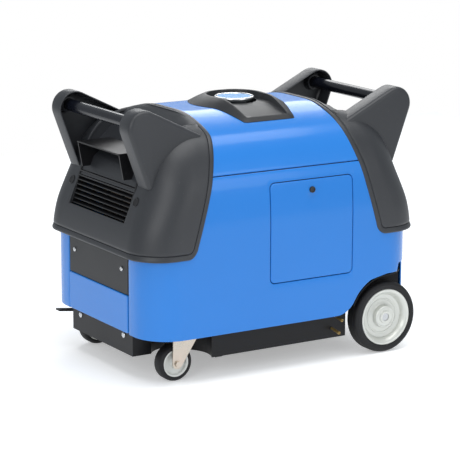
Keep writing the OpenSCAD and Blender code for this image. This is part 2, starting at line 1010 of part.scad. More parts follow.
module caster_tyre() {
    w = caster_w / 2;
    rotate([90, 0, 0])
        rotate_extrude()
            polygon([
                [caster_r - 9, -w + 2],
                [caster_r - 7, -w],
                [caster_r - 3, -w + 1.5],
                [caster_r, -w + 7],
                [caster_r, w - 7],
                [caster_r - 3, w - 1.5],
                [caster_r - 7, w],
                [caster_r - 9, w - 2]
            ]);
}

module at_caster(side) { translate([caster_x, side * caster_y, 0]) children(); }
module at_caster_axle(side) {
    translate([caster_axle_x, side * caster_y, caster_r]) children();
}

module near_caster_fork() { color("#b9b6a4") at_caster(-1) caster_fork(false); }
module near_caster_rim() { color("#d9d9d4") at_caster_axle(-1) caster_rim(); }
module near_caster_tyre() { color("#1d1d1f") at_caster_axle(-1) caster_tyre(); }
module far_caster_fork() { color("#b9b6a4") at_caster(1) caster_fork(true); }
module far_caster_rim() { color("#d9d9d4") at_caster_axle(1) caster_rim(); }
module far_caster_tyre() { color("#1d1d1f") at_caster_axle(1) caster_tyre(); }

// Foot lever between the cheeks of the far fork, with a pad over the tyre
module caster_brake() {
    color("#171718")
        at_caster(1) {
            translate([brake_x, 0, brake_z]) rotate([90, 0, 0])
                cylinder(r = brake_pin_r, h = 2 * fork_half, center = true);
            translate([brake_x - 3, -8, brake_z - 7]) cube([12, 16, 6]);
            across_at(0, 16)
                polygon([
                    [brake_x + 3, brake_z - 2],
                    [brake_x - 20, brake_z],
                    [brake_x - 50, brake_z - 6],
                    [brake_x - brake_len, brake_z - 1],
                    [brake_x - brake_len, brake_z - 5],
                    [brake_x - 50, brake_z - 10],
                    [brake_x - 20, brake_z - 4],
                    [brake_x + 3, brake_z - 6]
                ]);
        }
}

// ---------------------------------------------------------------- control panel

// Puts children on the panel face: their +Z points out of the panel, +X to the far side
module on_panel(across_y, up) {
    translate([panel_low_x, 0, panel_low_z])
        rotate([0, -panel_tilt, 0])
            translate([0, across_y, up])
                rotate([0, 90, 0])
                    rotate([0, 0, 90])
                        children();
}

SOCKET_Y = [-80, -26];
SOCKET_UP = 30;
TERMINAL_Y = [18, 42, 66];
LAMP_Y = [-8, 8, 24];
UPPER_ROW = 72;
CHOKE_Y = -84;
COCK_Y = -46;
ECO_Y = 56;
KEY_Y = 88;
BREAKER_Y = 92;
LOWER_ROW = 30;

module control_panel() {
    color("#2b2d30")
        difference() {
            on_panel(0, panel_h / 2)
                translate([-panel_half, -panel_h / 2, -panel_t])
                    cube([2 * panel_half, panel_h, panel_t]);
            for (y = SOCKET_Y)
                on_panel(y, SOCKET_UP) cylinder(r = socket_r - 2, h = 30, center = true);
            for (y = TERMINAL_Y)
                on_panel(y, LOWER_ROW) cylinder(r = 4, h = 30, center = true);
            for (y = LAMP_Y)
                on_panel(y, UPPER_ROW) cylinder(r = lamp_r + run_gap, h = 30, center = true);
            on_panel(BREAKER_Y, LOWER_ROW) cylinder(r = button_r + run_gap, h = 30, center = true);
            on_panel(KEY_Y, UPPER_ROW) cylinder(r = key_r + run_gap, h = 30, center = true);
            on_panel(CHOKE_Y, UPPER_ROW) cylinder(r = 4 + run_gap, h = 30, center = true);
            on_panel(COCK_Y, UPPER_ROW) cylinder(r = 5 + run_gap, h = 30, center = true);
            on_panel(ECO_Y, UPPER_ROW) cube([13, 21, 30], center = true);
        }
}

module mains_sockets() {
    color("#1d1e20")
        for (y = SOCKET_Y)
            on_panel(y, SOCKET_UP)
                difference() {
                    union() {
                        translate([0, 0, near_gap]) cylinder(r = socket_r, h = 4);
                        translate([0, 0, -24]) cylinder(r = socket_r - 2.3, h = 26);
                    }
                    translate([0, 0, -14]) cylinder(r = socket_r - 4, h = 40);
                    for (s = [-1, 1])
                        translate([s * 9.5, 0, -22]) cylinder(r = 2.4, h = 20);
                }
}

module dc_terminals() {
    color("#a33026")
        for (y = TERMINAL_Y)
            on_panel(y, LOWER_ROW) {
                translate([0, 0, near_gap]) cylinder(r = 8, h = 10);
                translate([0, 0, -14]) cylinder(r = 3.7, h = 20);
            }
}

module pilot_lamps() {
    color("#4bd06a")
        for (y = LAMP_Y)
            on_panel(y, UPPER_ROW) {
                translate([0, 0, -8]) cylinder(r = lamp_r, h = 9);
                translate([0, 0, 0.2]) cylinder(r = lamp_r + 1, h = 1);
            }
}

module breaker_button() {
    color("#c9442b")
        on_panel(BREAKER_Y, LOWER_ROW) {
            translate([0, 0, -14]) cylinder(r = button_r, h = 19);
            translate([0, 0, -17]) cylinder(r = button_r + 2, h = 3);
        }
}

module key_switch() {
    color("#8d8f92")
        on_panel(KEY_Y, UPPER_ROW) {
            translate([0, 0, -20]) cylinder(r = key_r, h = 26);
            translate([0, 0, -22]) cylinder(r = key_r + 3, h = 4);
            translate([-1.2, -10, 6 - eps]) cube([2.4, 20, 22]);
        }
}

module eco_switch() {
    color("#c23a30")
        on_panel(ECO_Y, UPPER_ROW)
            rotate([90, 0, 90])
                translate([0, 0, -6])
                    linear_extrude(12)
                        polygon([[-9, -8], [9, -8], [9, 5.5], [0, 1.5], [-9, 2.5]]);
}

module choke_knob() {
    color("#2a2b2d")
        on_panel(CHOKE_Y, UPPER_ROW) {
            translate([0, 0, 6]) cylinder(r = knob_r, h = 11);
            translate([0, 0, -36]) cylinder(r = 4, h = 46);
        }
}

module fuel_cock() {
    color("#2a2b2d")
        on_panel(COCK_Y, UPPER_ROW) {
            translate([0, 0, 1]) cylinder(r = 13, h = 6);
            translate([-4, -15, 7 - eps]) cube([8, 30, 9]);
            translate([0, 0, -24]) cylinder(r = 5, h = 30);
        }
}

// ---------------------------------------------------------------- engine

module engine_block() {
    color("#8e9194")
        difference() {
            union() {
                translate([block_front, -block_half, block_low])
                    cube([case_len, 2 * block_half, block_top - block_low]);
                // feet over the rubber mounts
                for (x = [block_front - 22, block_rear - 52])
                    translate([x, -block_half - 22, block_low]) cube([52, 2 * block_half + 44, 8]);
            }
            // crankcase hollow, and the bearings at each end
            translate([block_front + 14, -block_half + 10, block_low + 12])
                cube([case_len - 28, 2 * block_half - 20, block_top - block_low - 12 + eps]);
            translate([block_front - 1, 0, crank_z]) rotate([0, 90, 0])
                cylinder(r = crank_r + run_gap, h = case_len + 2);
            // oil filler
            translate([block_front + 110, -block_half - 1, block_low + 125]) rotate([-90, 0, 0])
                cylinder(r = 10 + run_gap, h = 14);
        }
}

module cylinder_head() {
    width = 124;
    color("#9a9da0")
        difference() {
            union() {
                translate([block_front, -block_half, block_top]) cube([case_len, 2 * block_half, 8]);
                translate([block_front + 26, -width / 2 + 12, block_top])
                    cube([case_len - 52, width - 24, head_top - block_top - 6]);
                for (z = [18:9:81])
                    translate([block_front + 8, -width / 2, block_top + z]) cube([case_len - 16, width, 3]);
                translate([block_front + 16, -width / 2 + 2, head_top - 12]) cube([case_len - 32, width - 4, 12]);
                // spark plug and its cap
                translate([block_front + 70, 0, head_top - 1]) cylinder(r = 7, h = 10);
                // flanges for the exhaust and the carburettor
                translate([block_front - 1, -22, block_top + 40]) cube([40, 44, 34]);
                translate([block_front + 48, -width / 2 - 10, block_top + 40]) cube([44, 24, 34]);
            }
            translate([block_front + case_len / 2, 0, block_top - 1]) cylinder(r = 34, h = 70);
            translate([block_front - 2, 0, block_top + 57]) rotate([0, 90, 0]) cylinder(r = 13, h = 50);
        }
}

module crankshaft() {
    color("#b7babd")
        translate([0, 0, crank_z]) rotate([0, 90, 0]) {
            translate([0, 0, block_front - 8]) cylinder(r = crank_r, h = rotor_in + rotor_len - 4 - block_front + 8);
            // crank webs
            for (x = [block_front + 34, block_rear - 46])
                translate([0, 0, x]) cylinder(r = 38, h = 12);
        }
}

module flywheel_rotor() {
    end_x = rotor_in + rotor_len;
    color("#55585b")
        translate([0, 0, crank_z]) rotate([0, 90, 0]) {
            rotate_extrude()
                polygon([
                    [crank_r + run_gap / 2, end_x - 10],
                    [crank_r + run_gap / 2, end_x],
                    [rotor_r, end_x],
                    [rotor_r, rotor_in],
                    [rotor_r - 8, rotor_in],
                    [rotor_r - 8, end_x - 8],
                    [crank_r + 10, end_x - 8],
                    [crank_r + 10, end_x - 10]
                ]);
            for (a = [0:30:330])
                rotate([0, 0, a]) translate([34, -1.5, end_x - eps]) cube([rotor_r - 38, 3, 14]);
        }
}

module stator() {
    color("#a4683a")
        translate([0, 0, crank_z]) rotate([0, 90, 0])
            difference() {
                union() {
                    translate([0, 0, block_rear]) cylinder(r = crank_r + 14, h = stator_len);
                    translate([0, 0, block_rear + 14]) cylinder(r = stator_r, h = stator_len - 18);
                }
                translate([0, 0, block_rear - 1]) cylinder(r = crank_r + 3, h = stator_len + 2);
                for (a = [0:20:340])
                    rotate([0, 0, a]) translate([stator_r - 16, -2, block_rear]) cube([30, 4, stator_len]);
            }
}

module carburettor() {
    front = -port_y;
    back = front - carb_len;
    color("#a9acae")
        difference() {
            union() {
                translate([block_front + 70, front - near_gap, block_top + 57]) rotate([90, 0, 0])
                    cylinder(r = 20, h = front - near_gap - back);
                translate([block_front + 52, back + 14, block_top + 22]) cube([36, carb_len - 32, 26]);
            }
            translate([block_front + 70, front + 1, block_top + 57]) rotate([90, 0, 0])
                cylinder(r = 11, h = front - back + 2);
        }
}

module air_filter_box() {
    back = -port_y - carb_len - near_gap;
    depth = filter_t;
    color("#26282a")
        difference() {
            translate([block_front + 25, back - depth, block_top + 12]) cube([105, depth, 92]);
            translate([block_front + 28, back - depth + 3, block_top + 15]) cube([99, depth - 6, 86]);
            translate([block_front + 70, back + 1, block_top + 57]) rotate([90, 0, 0])
                cylinder(r = 12, h = 8);
            translate([block_front + 40, back - depth / 2 - 5, block_top + 100]) cube([50, 16, 10]);
        }
}

module oil_filler_cap() {
    color("#d9b12a")
        translate([block_front + 110, -block_half - 16, block_low + 125]) rotate([-90, 0, 0]) {
            cylinder(r = 15, h = 14);
            cylinder(r = 10, h = 26);
        }
}

module muffler() {
    color("#6d5f52")
        difference() {
            union() {
                translate([muffler_front, -muffler_half, muffler_low])
                    cube([muffler_rear - muffler_front, 2 * muffler_half, muffler_top - muffler_low]);
                translate([muffler_rear - 2, 0, block_top + 57]) rotate([0, 90, 0])
                    cylinder(r = 16, h = block_front - 1 - near_gap - muffler_rear + 2);
                // tail pipe
                translate([muffler_front - 12, 30, 372]) rotate([0, 90, 0]) cylinder(r = 13, h = 20);
            }
            translate([muffler_front + 2, -muffler_half + 2, muffler_low + 2])
                cube([muffler_rear - muffler_front - 4, 2 * muffler_half - 4, muffler_top - muffler_low - 4]);
            translate([muffler_front - 13, 30, 372]) rotate([0, 90, 0]) cylinder(r = 11, h = 30);
            translate([muffler_rear - 10, 0, block_top + 57]) rotate([0, 90, 0]) cylinder(r = 13, h = 90);
        }
}

module battery() {
    color("#333538")
        translate([rear_pack_x - battery_l, 8, deck_top]) {
            cube([battery_l, battery_w, battery_h - 6]);
            for (y = [18, battery_w - 34])
                translate([20, y, battery_h - 7]) cube([14, 14, 7]);
        }
}

module inverter_unit() {
    width = battery_w;
    height = 140;
    color("#a7aaad")
        translate([rear_pack_x - battery_l, -8 - width, deck_top]) {
            cube([battery_l - 22, width, height]);
            for (y = [0:12:width - 6])
                translate([battery_l - 23, y, 0]) cube([23, 4, height]);
        }
}

module rubber_mounts() {
    color("#1a1a1a")
        for (x = [block_front + 4, block_rear - 26], s = [-1, 1])
            translate([x, s * (block_half + 6), tray_z + tray_t]) cylinder(r = 13, h = mount_h);
}

module drain_spigots() {
    color("#b99a5a")
        for (p = [[fillet_x + 14, 90, -12], [fillet_x + 7, 64, -12]])
            translate([p[0], -tray_half_w - 3 * near_gap, p[1]])
                rotate([90 - p[2], 0, 5])
                    difference() {
                        cylinder(r = 3, h = 26);
                        translate([0, 0, 3]) cylinder(r = 2, h = 30);
                    }
}

// Cross head screws: front panel, nose plate and both hoods
module screw(r) {
    cylinder(r = r, h = 2.4);
    translate([0, 0, -12]) cylinder(r = r / 2, h = 13);
}

module case_screws() {
    color("#b9bbbd") {
        for (s = [-1, 1]) {
            translate([-half_l - near_gap, s * 100, 227]) rotate([0, -90, 0]) screw(5);
            translate([nose_front - near_gap, s * nose_screw_y, nose_screw_z]) rotate([0, -90, 0]) screw(6);
        }
    }
}

base_frame();
arch_liners();
side_panel_near();
side_panel_far();
top_cover();
front_bumper();
front_panel();
rear_bumper();
rear_grille();
exhaust_hood();
control_hood();
exhaust_louvre();
exhaust_visor();
handle_bars();
cap_surround();
cap_seal();
fuel_cap();
fuel_tank();
service_door();
door_latch();
recoil_cup();
recoil_grip();
recoil_pulley();
fan_shroud();
rear_axle();
near_tyre();
near_rim();
far_tyre();
far_rim();
caster_plates();
near_caster_fork();
near_caster_rim();
near_caster_tyre();
far_caster_fork();
far_caster_rim();
far_caster_tyre();
caster_brake();
control_panel();
mains_sockets();
dc_terminals();
pilot_lamps();
breaker_button();
key_switch();
eco_switch();
choke_knob();
fuel_cock();
engine_block();
cylinder_head();
crankshaft();
flywheel_rotor();
stator();
carburettor();
air_filter_box();
oil_filler_cap();
muffler();
battery();
inverter_unit();
rubber_mounts();
drain_spigots();
case_screws();
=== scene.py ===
# %% [markdown]
# # A wheeled inverter generator
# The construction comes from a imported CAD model, which this script loads as a fixed frame.
# Blender adds what the eye meets first: smooth pressed panels, moulded hoods, rubber, zinc and gloss.
# Every size below is in millimetres, because that is how such a machine is drawn. A helper turns
# each finished mesh into metres, which is what the frame uses.

# %% Load the frame
import bpy
import bmesh
import math
from mathutils import Matrix, Vector


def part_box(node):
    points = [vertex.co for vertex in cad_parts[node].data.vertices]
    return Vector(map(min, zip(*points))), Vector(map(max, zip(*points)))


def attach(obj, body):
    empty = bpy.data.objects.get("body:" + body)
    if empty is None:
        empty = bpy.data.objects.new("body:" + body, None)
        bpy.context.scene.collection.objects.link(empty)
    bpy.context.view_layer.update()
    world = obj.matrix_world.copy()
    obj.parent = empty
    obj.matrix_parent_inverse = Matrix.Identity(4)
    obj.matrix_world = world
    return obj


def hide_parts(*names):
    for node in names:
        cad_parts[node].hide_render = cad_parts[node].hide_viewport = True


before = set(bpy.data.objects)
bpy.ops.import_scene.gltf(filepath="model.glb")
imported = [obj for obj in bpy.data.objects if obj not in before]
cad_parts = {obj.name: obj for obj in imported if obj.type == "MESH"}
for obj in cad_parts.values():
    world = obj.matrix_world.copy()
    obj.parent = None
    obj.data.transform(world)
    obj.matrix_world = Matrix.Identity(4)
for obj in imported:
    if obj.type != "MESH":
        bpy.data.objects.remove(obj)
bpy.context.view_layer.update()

# %% [markdown]
# Sizes are read from the nodes where a node has them, so a change in the CAD moves the looks with it.
# The case is a stack of rounded rectangles that shrink towards the crown. The CAD joins them with
# flat facets. Here the same stack is run through a smooth curve, which is what a press tool would do.

# %% Read sizes from the frame
def cad(node):
    low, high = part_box(node)
    return low * 1000, high * 1000


half_l = -cad("front_panel")[0].x
half_w = -cad("side_panel_near")[0].y
skirt_z = cad("side_panel_near")[0].z
seam_z = cad("side_panel_near")[1].z + 0.4
crown_z = cad("top_cover")[1].z
lip_z = cad("exhaust_hood")[0].z
corner_r = 75
print("case", round(2 * half_l), "x", round(2 * half_w), "crown at", round(crown_z))

# %% [markdown]
# Each row of the stack gives a height, how far the length and the width draw in there, and how much
# the corner radius shrinks. The hood has its own lower rows, because it stands proud of the case.

# %% The case as a stack of sections
# height, length inset, width inset, corner radius lost
CASE_ROWS = [
    (skirt_z - 10, 0, 0, 0),
    (310, 0, 0, 0),
    (390, 26.5, 5.5, 1),
    (430, 39.5, 17.5, 4),
    (crown_z - 59, 58.5, 35.5, 12),
    (crown_z - 32, 85.5, 61.5, 24),
    (crown_z - 12, 123.5, 111.5, 34),
    (crown_z, 168.5, 170, 48),
]
HOOD_ROWS = [(lip_z - 2, -12, 0, 0), (lip_z + 12, -13.8, 0, 0), (321, -2.5, 0, 0)] + CASE_ROWS[2:]


def smooth_rows(rows, straight, spans=8):
    """Runs a smooth curve through the rows. Up to row number straight the wall stays upright."""
    last = len(rows) - 1

    def lean(k):
        if k <= straight:
            return Vector((rows[k + 1][0] - rows[k][0], 0, 0, 0)) / 2
        if k == last:
            return Vector([0] + [b - a for a, b in zip(rows[k - 1][1:], rows[k][1:])])
        return Vector([b - a for a, b in zip(rows[k - 1], rows[k + 1])]) / 2

    out = [Vector(rows[0])]
    for k in range(last):
        a, b = Vector(rows[k]), Vector(rows[k + 1])
        for i in range(1, spans + 1):
            t = i / spans
            out.append(
                a * (2 * t**3 - 3 * t**2 + 1) + b * (3 * t**2 - 2 * t**3)
                + lean(k) * (t**3 - 2 * t**2 + t) + lean(k + 1) * (t**3 - t**2)
            )
    return out


case_rows = smooth_rows(CASE_ROWS, 1)
hood_rows = smooth_rows(HOOD_ROWS, -1)
print("case stack has", len(case_rows), "sections")


# %% [markdown]
# Every panel is laid on this stack, so it needs a point for a place along the side, round the corner
# or across the end, at any height.

# %% Points on the case
def section(rows, z):
    """Half length, half width and corner radius of the stack at height z."""
    for a, b in zip(rows, rows[1:]):
        if z <= b[0]:
            break
    t = 0 if b[0] == a[0] else (z - a[0]) / (b[0] - a[0])
    row = a.lerp(b, t)
    return half_l - row[1], half_w - row[2], corner_r - row[3]


def plan_point(rows, kind, value, z):
    """A point of the quarter towards +X and -Y.

    The kind says where: on the side at x, on the corner at an angle, or on the end at y.
    """
    length, width, r = section(rows, z)
    if kind == "side":
        turn = max(0.0, min(1.0, (value - (length - r)) / r))
        return Vector((value, -(width - r) - r * math.sqrt(1 - turn * turn), z))
    if kind == "end":
        return Vector((length, value, z))
    turn = math.radians(value)
    return Vector((length - r + r * math.sin(turn), -(width - r) - r * math.cos(turn), z))


print("waist point", [round(c, 1) for c in plan_point(case_rows, "side", 0, 300)])

# %% [markdown]
# ## Camera, floor and light
# The view looks from the exhaust end and the door side, a little above the machine, through a long
# lens, as a catalogue picture does. Soft light comes from a wide box overhead, and from the left.

# %% Camera
azimuth, elevation, roll_angle = (math.radians(a) for a in (31.765, 12.628, 0.226))
distance = 4.5041
target = Vector((-0.005486, -0.001296, 0.250918))
sensor_width = 36
focal_length = sensor_width * 2138.7 / 460

back = Vector((
    -math.sin(azimuth) * math.cos(elevation),
    -math.cos(azimuth) * math.cos(elevation),
    math.sin(elevation),
))
camera_data = bpy.data.cameras.new("camera")
camera_data.sensor_width = sensor_width
camera_data.lens = focal_length
camera_data.clip_end = 50
camera = bpy.data.objects.new("camera", camera_data)
camera.location = target + back * distance
camera.rotation_mode = "QUATERNION"
look = (-back).to_track_quat("-Z", "Y")
camera.rotation_quaternion = look @ Matrix.Rotation(roll_angle, 3, "Z").to_quaternion()
bpy.context.scene.collection.objects.link(camera)
bpy.context.scene.camera = camera
bpy.context.scene.view_settings.view_transform = "Standard"
print("camera at", [round(c, 3) for c in camera.location])


# %% [markdown]
# Four soft boxes and an even sky light the machine. The camera sees a plain white page behind it, and
# a square floor lies under the machine.

# %% Floor and light
def soft_box(name, place, aim, size, watts):
    data = bpy.data.lights.new(name, "AREA")
    data.shape = "RECTANGLE"
    data.size, data.size_y = size
    data.energy = watts
    box = bpy.data.objects.new(name, data)
    box.location = place
    box.rotation_euler = (Vector(aim) - Vector(place)).to_track_quat("-Z", "Y").to_euler()
    bpy.context.scene.collection.objects.link(box)


soft_box("overhead", (0.0, -0.5, 2.3), (0, 0, 0.3), (2.6, 1.1), 34)
soft_box("key_left", (-2.6, -1.6, 1.5), (0, 0, 0.25), (1.6, 1.6), 26)
soft_box("fill_front", (0.9, -3.2, 1.2), (0, 0, 0.25), (2.0, 1.4), 18)
soft_box("rim_back", (1.4, 2.2, 1.9), (0, 0, 0.3), (1.8, 1.0), 24)

world = bpy.data.worlds.new("studio")
bpy.context.scene.world = world
world.use_nodes = True
sky = world.node_tree.nodes["Background"]
page = world.node_tree.nodes.new("ShaderNodeBackground")
sky.inputs["Color"].default_value = (0.90, 0.95, 1.0, 1)
sky.inputs["Strength"].default_value = 0.52
page.inputs["Strength"].default_value = 1.0
page.inputs["Color"].default_value = (1, 1, 1, 1)
seen = world.node_tree.nodes.new("ShaderNodeLightPath")
choose = world.node_tree.nodes.new("ShaderNodeMixShader")
world.node_tree.links.new(seen.outputs["Is Camera Ray"], choose.inputs[0])
world.node_tree.links.new(sky.outputs[0], choose.inputs[1])
world.node_tree.links.new(page.outputs[0], choose.inputs[2])
world.node_tree.links.new(choose.outputs[0], world.node_tree.nodes["World Output"].inputs["Surface"])

floor_half = 2.2
floor_mesh = bmesh.new()
bmesh.ops.create_grid(floor_mesh, x_segments=1, y_segments=1, size=floor_half)
floor_data = bpy.data.meshes.new("floor")
floor_mesh.to_mesh(floor_data)
floor_mesh.free()
floor = bpy.data.objects.new("floor", floor_data)
bpy.context.scene.collection.objects.link(floor)

# %% [markdown]
# ## Finishes
# Two effects come back in many finishes, so each is a node group: a fine grain that lifts the
# surface, and slow patches that change colour and gloss a little, as handling and weather do.
# Both read Object coordinates, because the finished pieces all share the frame's origin.

# %% Node groups
def group_socket(tree, name, way, kind, value=None):
    socket = tree.interface.new_socket(name=name, in_out=way, socket_type=kind)
    if value is not None:
        socket.default_value = value
    return socket


def make_grain():
    """Height of a fine moulded or sprayed grain."""
    tree = bpy.data.node_groups.new("surface_grain", "ShaderNodeTree")
    group_socket(tree, "Scale", "INPUT", "NodeSocketFloat", 900.0)
    group_socket(tree, "Height", "OUTPUT", "NodeSocketFloat")
    nodes, links = tree.nodes, tree.links
    source, result = nodes.new("NodeGroupInput"), nodes.new("NodeGroupOutput")
    place = nodes.new("ShaderNodeTexCoord")
    noise = nodes.new("ShaderNodeTexNoise")
    noise.inputs["Detail"].default_value = 3
    links.new(place.outputs["Object"], noise.inputs["Vector"])
    links.new(source.outputs["Scale"], noise.inputs["Scale"])
    links.new(noise.outputs["Fac"], result.inputs["Height"])
    return tree


def make_patches():
    """A slow mask from 0 to 1 for uneven colour and gloss, with sparse specks of dust."""
    tree = bpy.data.node_groups.new("wear_patches", "ShaderNodeTree")
    group_socket(tree, "Scale", "INPUT", "NodeSocketFloat", 9.0)
    group_socket(tree, "Patch", "OUTPUT", "NodeSocketFloat")
    group_socket(tree, "Dust", "OUTPUT", "NodeSocketFloat")
    nodes, links = tree.nodes, tree.links
    source, result = nodes.new("NodeGroupInput"), nodes.new("NodeGroupOutput")
    place = nodes.new("ShaderNodeTexCoord")
    slow = nodes.new("ShaderNodeTexNoise")
    slow.inputs["Detail"].default_value = 4
    specks = nodes.new("ShaderNodeTexNoise")
    specks.inputs["Scale"].default_value = 260
    specks.inputs["Detail"].default_value = 2
    keep = nodes.new("ShaderNodeMapRange")
    keep.inputs["From Min"].default_value = 0.68
    keep.inputs["From Max"].default_value = 0.80
    for node in (slow, specks):
        links.new(place.outputs["Object"], node.inputs["Vector"])
    links.new(source.outputs["Scale"], slow.inputs["Scale"])
    links.new(slow.outputs["Fac"], result.inputs["Patch"])
    links.new(specks.outputs["Fac"], keep.inputs["Value"])
    links.new(keep.outputs["Result"], result.inputs["Dust"])
    return tree


grain_group = make_grain()
patch_group = make_patches()
print("node groups:", [g.name for g in bpy.data.node_groups])


# %% [markdown]
# One recipe serves paint, mouldings, rubber and metal. Each finish only says how it differs: its
# colour, its gloss, the size and height of its grain, and how far its colour drifts.

# %% One recipe for a finish
def finish(name, colour, rough, metal=0.0, grain=(900, 0.05), patch=(9, 0.12), tone=0.12,
           coat=0.0, spec=0.5, dust=0.25, second=None):
    """A Principled finish: colour and gloss drift with the patches, and the grain lifts the surface.

    Grain is (scale, height in millimetres) and patch is (scale, swing in roughness).
    """
    mat = bpy.data.materials.new(name)
    mat.use_nodes = True
    nodes, links = mat.node_tree.nodes, mat.node_tree.links
    shader = nodes["Principled BSDF"]
    shader.inputs["Metallic"].default_value = metal
    shader.inputs["Coat Weight"].default_value = coat
    shader.inputs["Coat Roughness"].default_value = 0.06
    shader.inputs["Specular IOR Level"].default_value = spec
    wear = nodes.new("ShaderNodeGroup")
    wear.node_tree = patch_group
    wear.inputs["Scale"].default_value = patch[0]
    darker = [c * (1 - tone) for c in colour]
    lighter = second or [min(1, c * (1 + tone)) for c in colour]
    mix = nodes.new("ShaderNodeMix")
    mix.data_type = "RGBA"
    mix.inputs["A"].default_value = (*darker, 1)
    mix.inputs["B"].default_value = (*lighter, 1)
    links.new(wear.outputs["Patch"], mix.inputs["Factor"])
    dusty = nodes.new("ShaderNodeMix")
    dusty.data_type = "RGBA"
    dusty.inputs["B"].default_value = (*[c * 0.6 + 0.10 for c in colour], 1)
    amount = nodes.new("ShaderNodeMath")
    amount.operation = "MULTIPLY"
    amount.inputs[1].default_value = dust
    links.new(wear.outputs["Dust"], amount.inputs[0])
    links.new(amount.outputs["Value"], dusty.inputs["Factor"])
    links.new(mix.outputs["Result"], dusty.inputs["A"])
    links.new(dusty.outputs["Result"], shader.inputs["Base Color"])
    gloss = nodes.new("ShaderNodeMapRange")
    gloss.inputs["To Min"].default_value = max(0.02, rough - patch[1] / 2)
    gloss.inputs["To Max"].default_value = rough + patch[1] / 2
    links.new(wear.outputs["Patch"], gloss.inputs["Value"])
    links.new(gloss.outputs["Result"], shader.inputs["Roughness"])
    texture = nodes.new("ShaderNodeGroup")
    texture.node_tree = grain_group
    texture.inputs["Scale"].default_value = grain[0]
    bump = nodes.new("ShaderNodeBump")
    bump.inputs["Strength"].default_value = 1.0
    bump.inputs["Distance"].default_value = grain[1] / 1000
    links.new(texture.outputs["Height"], bump.inputs["Height"])
    links.new(bump.outputs["Normal"], shader.inputs["Normal"])
    return mat


print("the finish recipe is ready")

# %% [markdown]
# Painted sheet is smooth and bright, mouldings are grainy and duller, and the tyres are the roughest.
# The yellow zinc runs from a greenish to a pinkish tint, as that plating does.

# %% The finishes of this machine
PAINT = finish("gloss_blue_paint", (0.018, 0.185, 0.590), 0.24,
               grain=(160, 0.02), patch=(5, 0.06), tone=0.04, coat=0.18, spec=0.3, dust=0.04)
HOOD = finish("charcoal_moulding", (0.022, 0.024, 0.028), 0.44,
              grain=(1500, 0.06), patch=(7, 0.10), tone=0.12)
PANEL = finish("black_moulding", (0.012, 0.013, 0.015), 0.46,
               grain=(1200, 0.06), patch=(8, 0.10), spec=0.35)
LOUVRE = finish("louvre_black", (0.006, 0.006, 0.007), 0.34, grain=(900, 0.05), spec=0.35)
BAR = finish("gloss_black_tube", (0.005, 0.006, 0.010), 0.24,
             grain=(200, 0.02), coat=0.05, spec=0.3, dust=0.05)
STEEL_BLACK = finish("black_powder_coat", (0.006, 0.006, 0.007), 0.42,
                     grain=(700, 0.06), spec=0.25, dust=0.1)
LINER = finish("liner_black", (0.006, 0.006, 0.007), 0.6, grain=(900, 0.08), spec=0.2, dust=0.1)
RUBBER = finish("tyre_rubber", (0.010, 0.010, 0.011), 0.6, grain=(1100, 0.10), dust=0.2, spec=0.3)
SOFT_RUBBER = finish("soft_rubber", (0.010, 0.010, 0.011), 0.7, grain=(900, 0.08))
RIM = finish("silver_grey_paint", (0.60, 0.61, 0.57), 0.34, metal=0.35,
             grain=(300, 0.02), tone=0.05)
CASTER_GREY = finish("pale_grey_moulding", (0.62, 0.63, 0.60), 0.38, grain=(600, 0.03), tone=0.06)
ZINC = finish("yellow_zinc", (0.50, 0.50, 0.42), 0.28, metal=0.9,
              grain=(500, 0.03), patch=(42, 0.16), tone=0.12, second=(0.62, 0.50, 0.42))
BRIGHT = finish("bright_zinc", (0.55, 0.56, 0.57), 0.25, metal=0.95, grain=(500, 0.02), tone=0.1)
BRASS = finish("dull_brass", (0.48, 0.33, 0.12), 0.35, metal=0.85, grain=(500, 0.03), tone=0.2)
CHROME = finish("chrome", (0.66, 0.66, 0.67), 0.2, metal=1.0, grain=(300, 0.01), tone=0.05)
CAP_BLUE = finish("cap_blue", (0.10, 0.36, 0.76), 0.25, grain=(300, 0.02), tone=0.05, coat=0.4)
GRIP = finish("grip_black", (0.012, 0.012, 0.013), 0.48, grain=(900, 0.06))
SOCKET = finish("socket_black", (0.012, 0.013, 0.014), 0.25, grain=(400, 0.02))
RED = finish("signal_red", (0.42, 0.03, 0.02), 0.28, grain=(400, 0.02), coat=0.3)
GREEN = finish("lamp_green", (0.05, 0.52, 0.12), 0.15, grain=(300, 0.01), coat=0.5)
TANK = finish("tank_grey", (0.105, 0.117, 0.128), 0.4, metal=0.4, grain=(500, 0.03))
CASTING = finish("cast_alloy", (0.30, 0.31, 0.32), 0.48, metal=0.8, grain=(420, 0.14), tone=0.15)
SHAFT = finish("ground_steel", (0.47, 0.48, 0.49), 0.22, metal=1.0, grain=(900, 0.02))
IRON = finish("machined_iron", (0.09, 0.097, 0.104), 0.38, metal=0.9, grain=(600, 0.05))
COPPER = finish("enamelled_winding", (0.42, 0.15, 0.045), 0.3, metal=0.8,
                grain=(2200, 0.15), tone=0.3)
HOT_STEEL = finish("heat_stained_steel", (0.20, 0.15, 0.11), 0.42, metal=0.8,
                   grain=(380, 0.08), patch=(22, 0.2), tone=0.4)
YELLOW = finish("oil_cap_yellow", (0.69, 0.44, 0.023), 0.3, grain=(400, 0.02))
FLOOR = finish("studio_floor", (0.86, 0.87, 0.88), 0.7,
               grain=(300, 0.01), patch=(0.5, 0.05), tone=0.01, dust=0.0)
floor_inputs = FLOOR.node_tree.nodes["Principled BSDF"].inputs
floor_inputs["Emission Color"].default_value = (1, 1, 1, 1)
floor_inputs["Emission Strength"].default_value = 0.35
floor_data.materials.append(FLOOR)
print("finishes:", len(bpy.data.materials))

# %% [markdown]
# ## Small tools
# A pressed or moulded panel is a sheet whose edge rolls back. So most pieces here start as a flat
# grid, are laid onto the case, and get a rolled edge by extruding their border a few times.
# Writing that once as a helper keeps each panel down to its own outline.

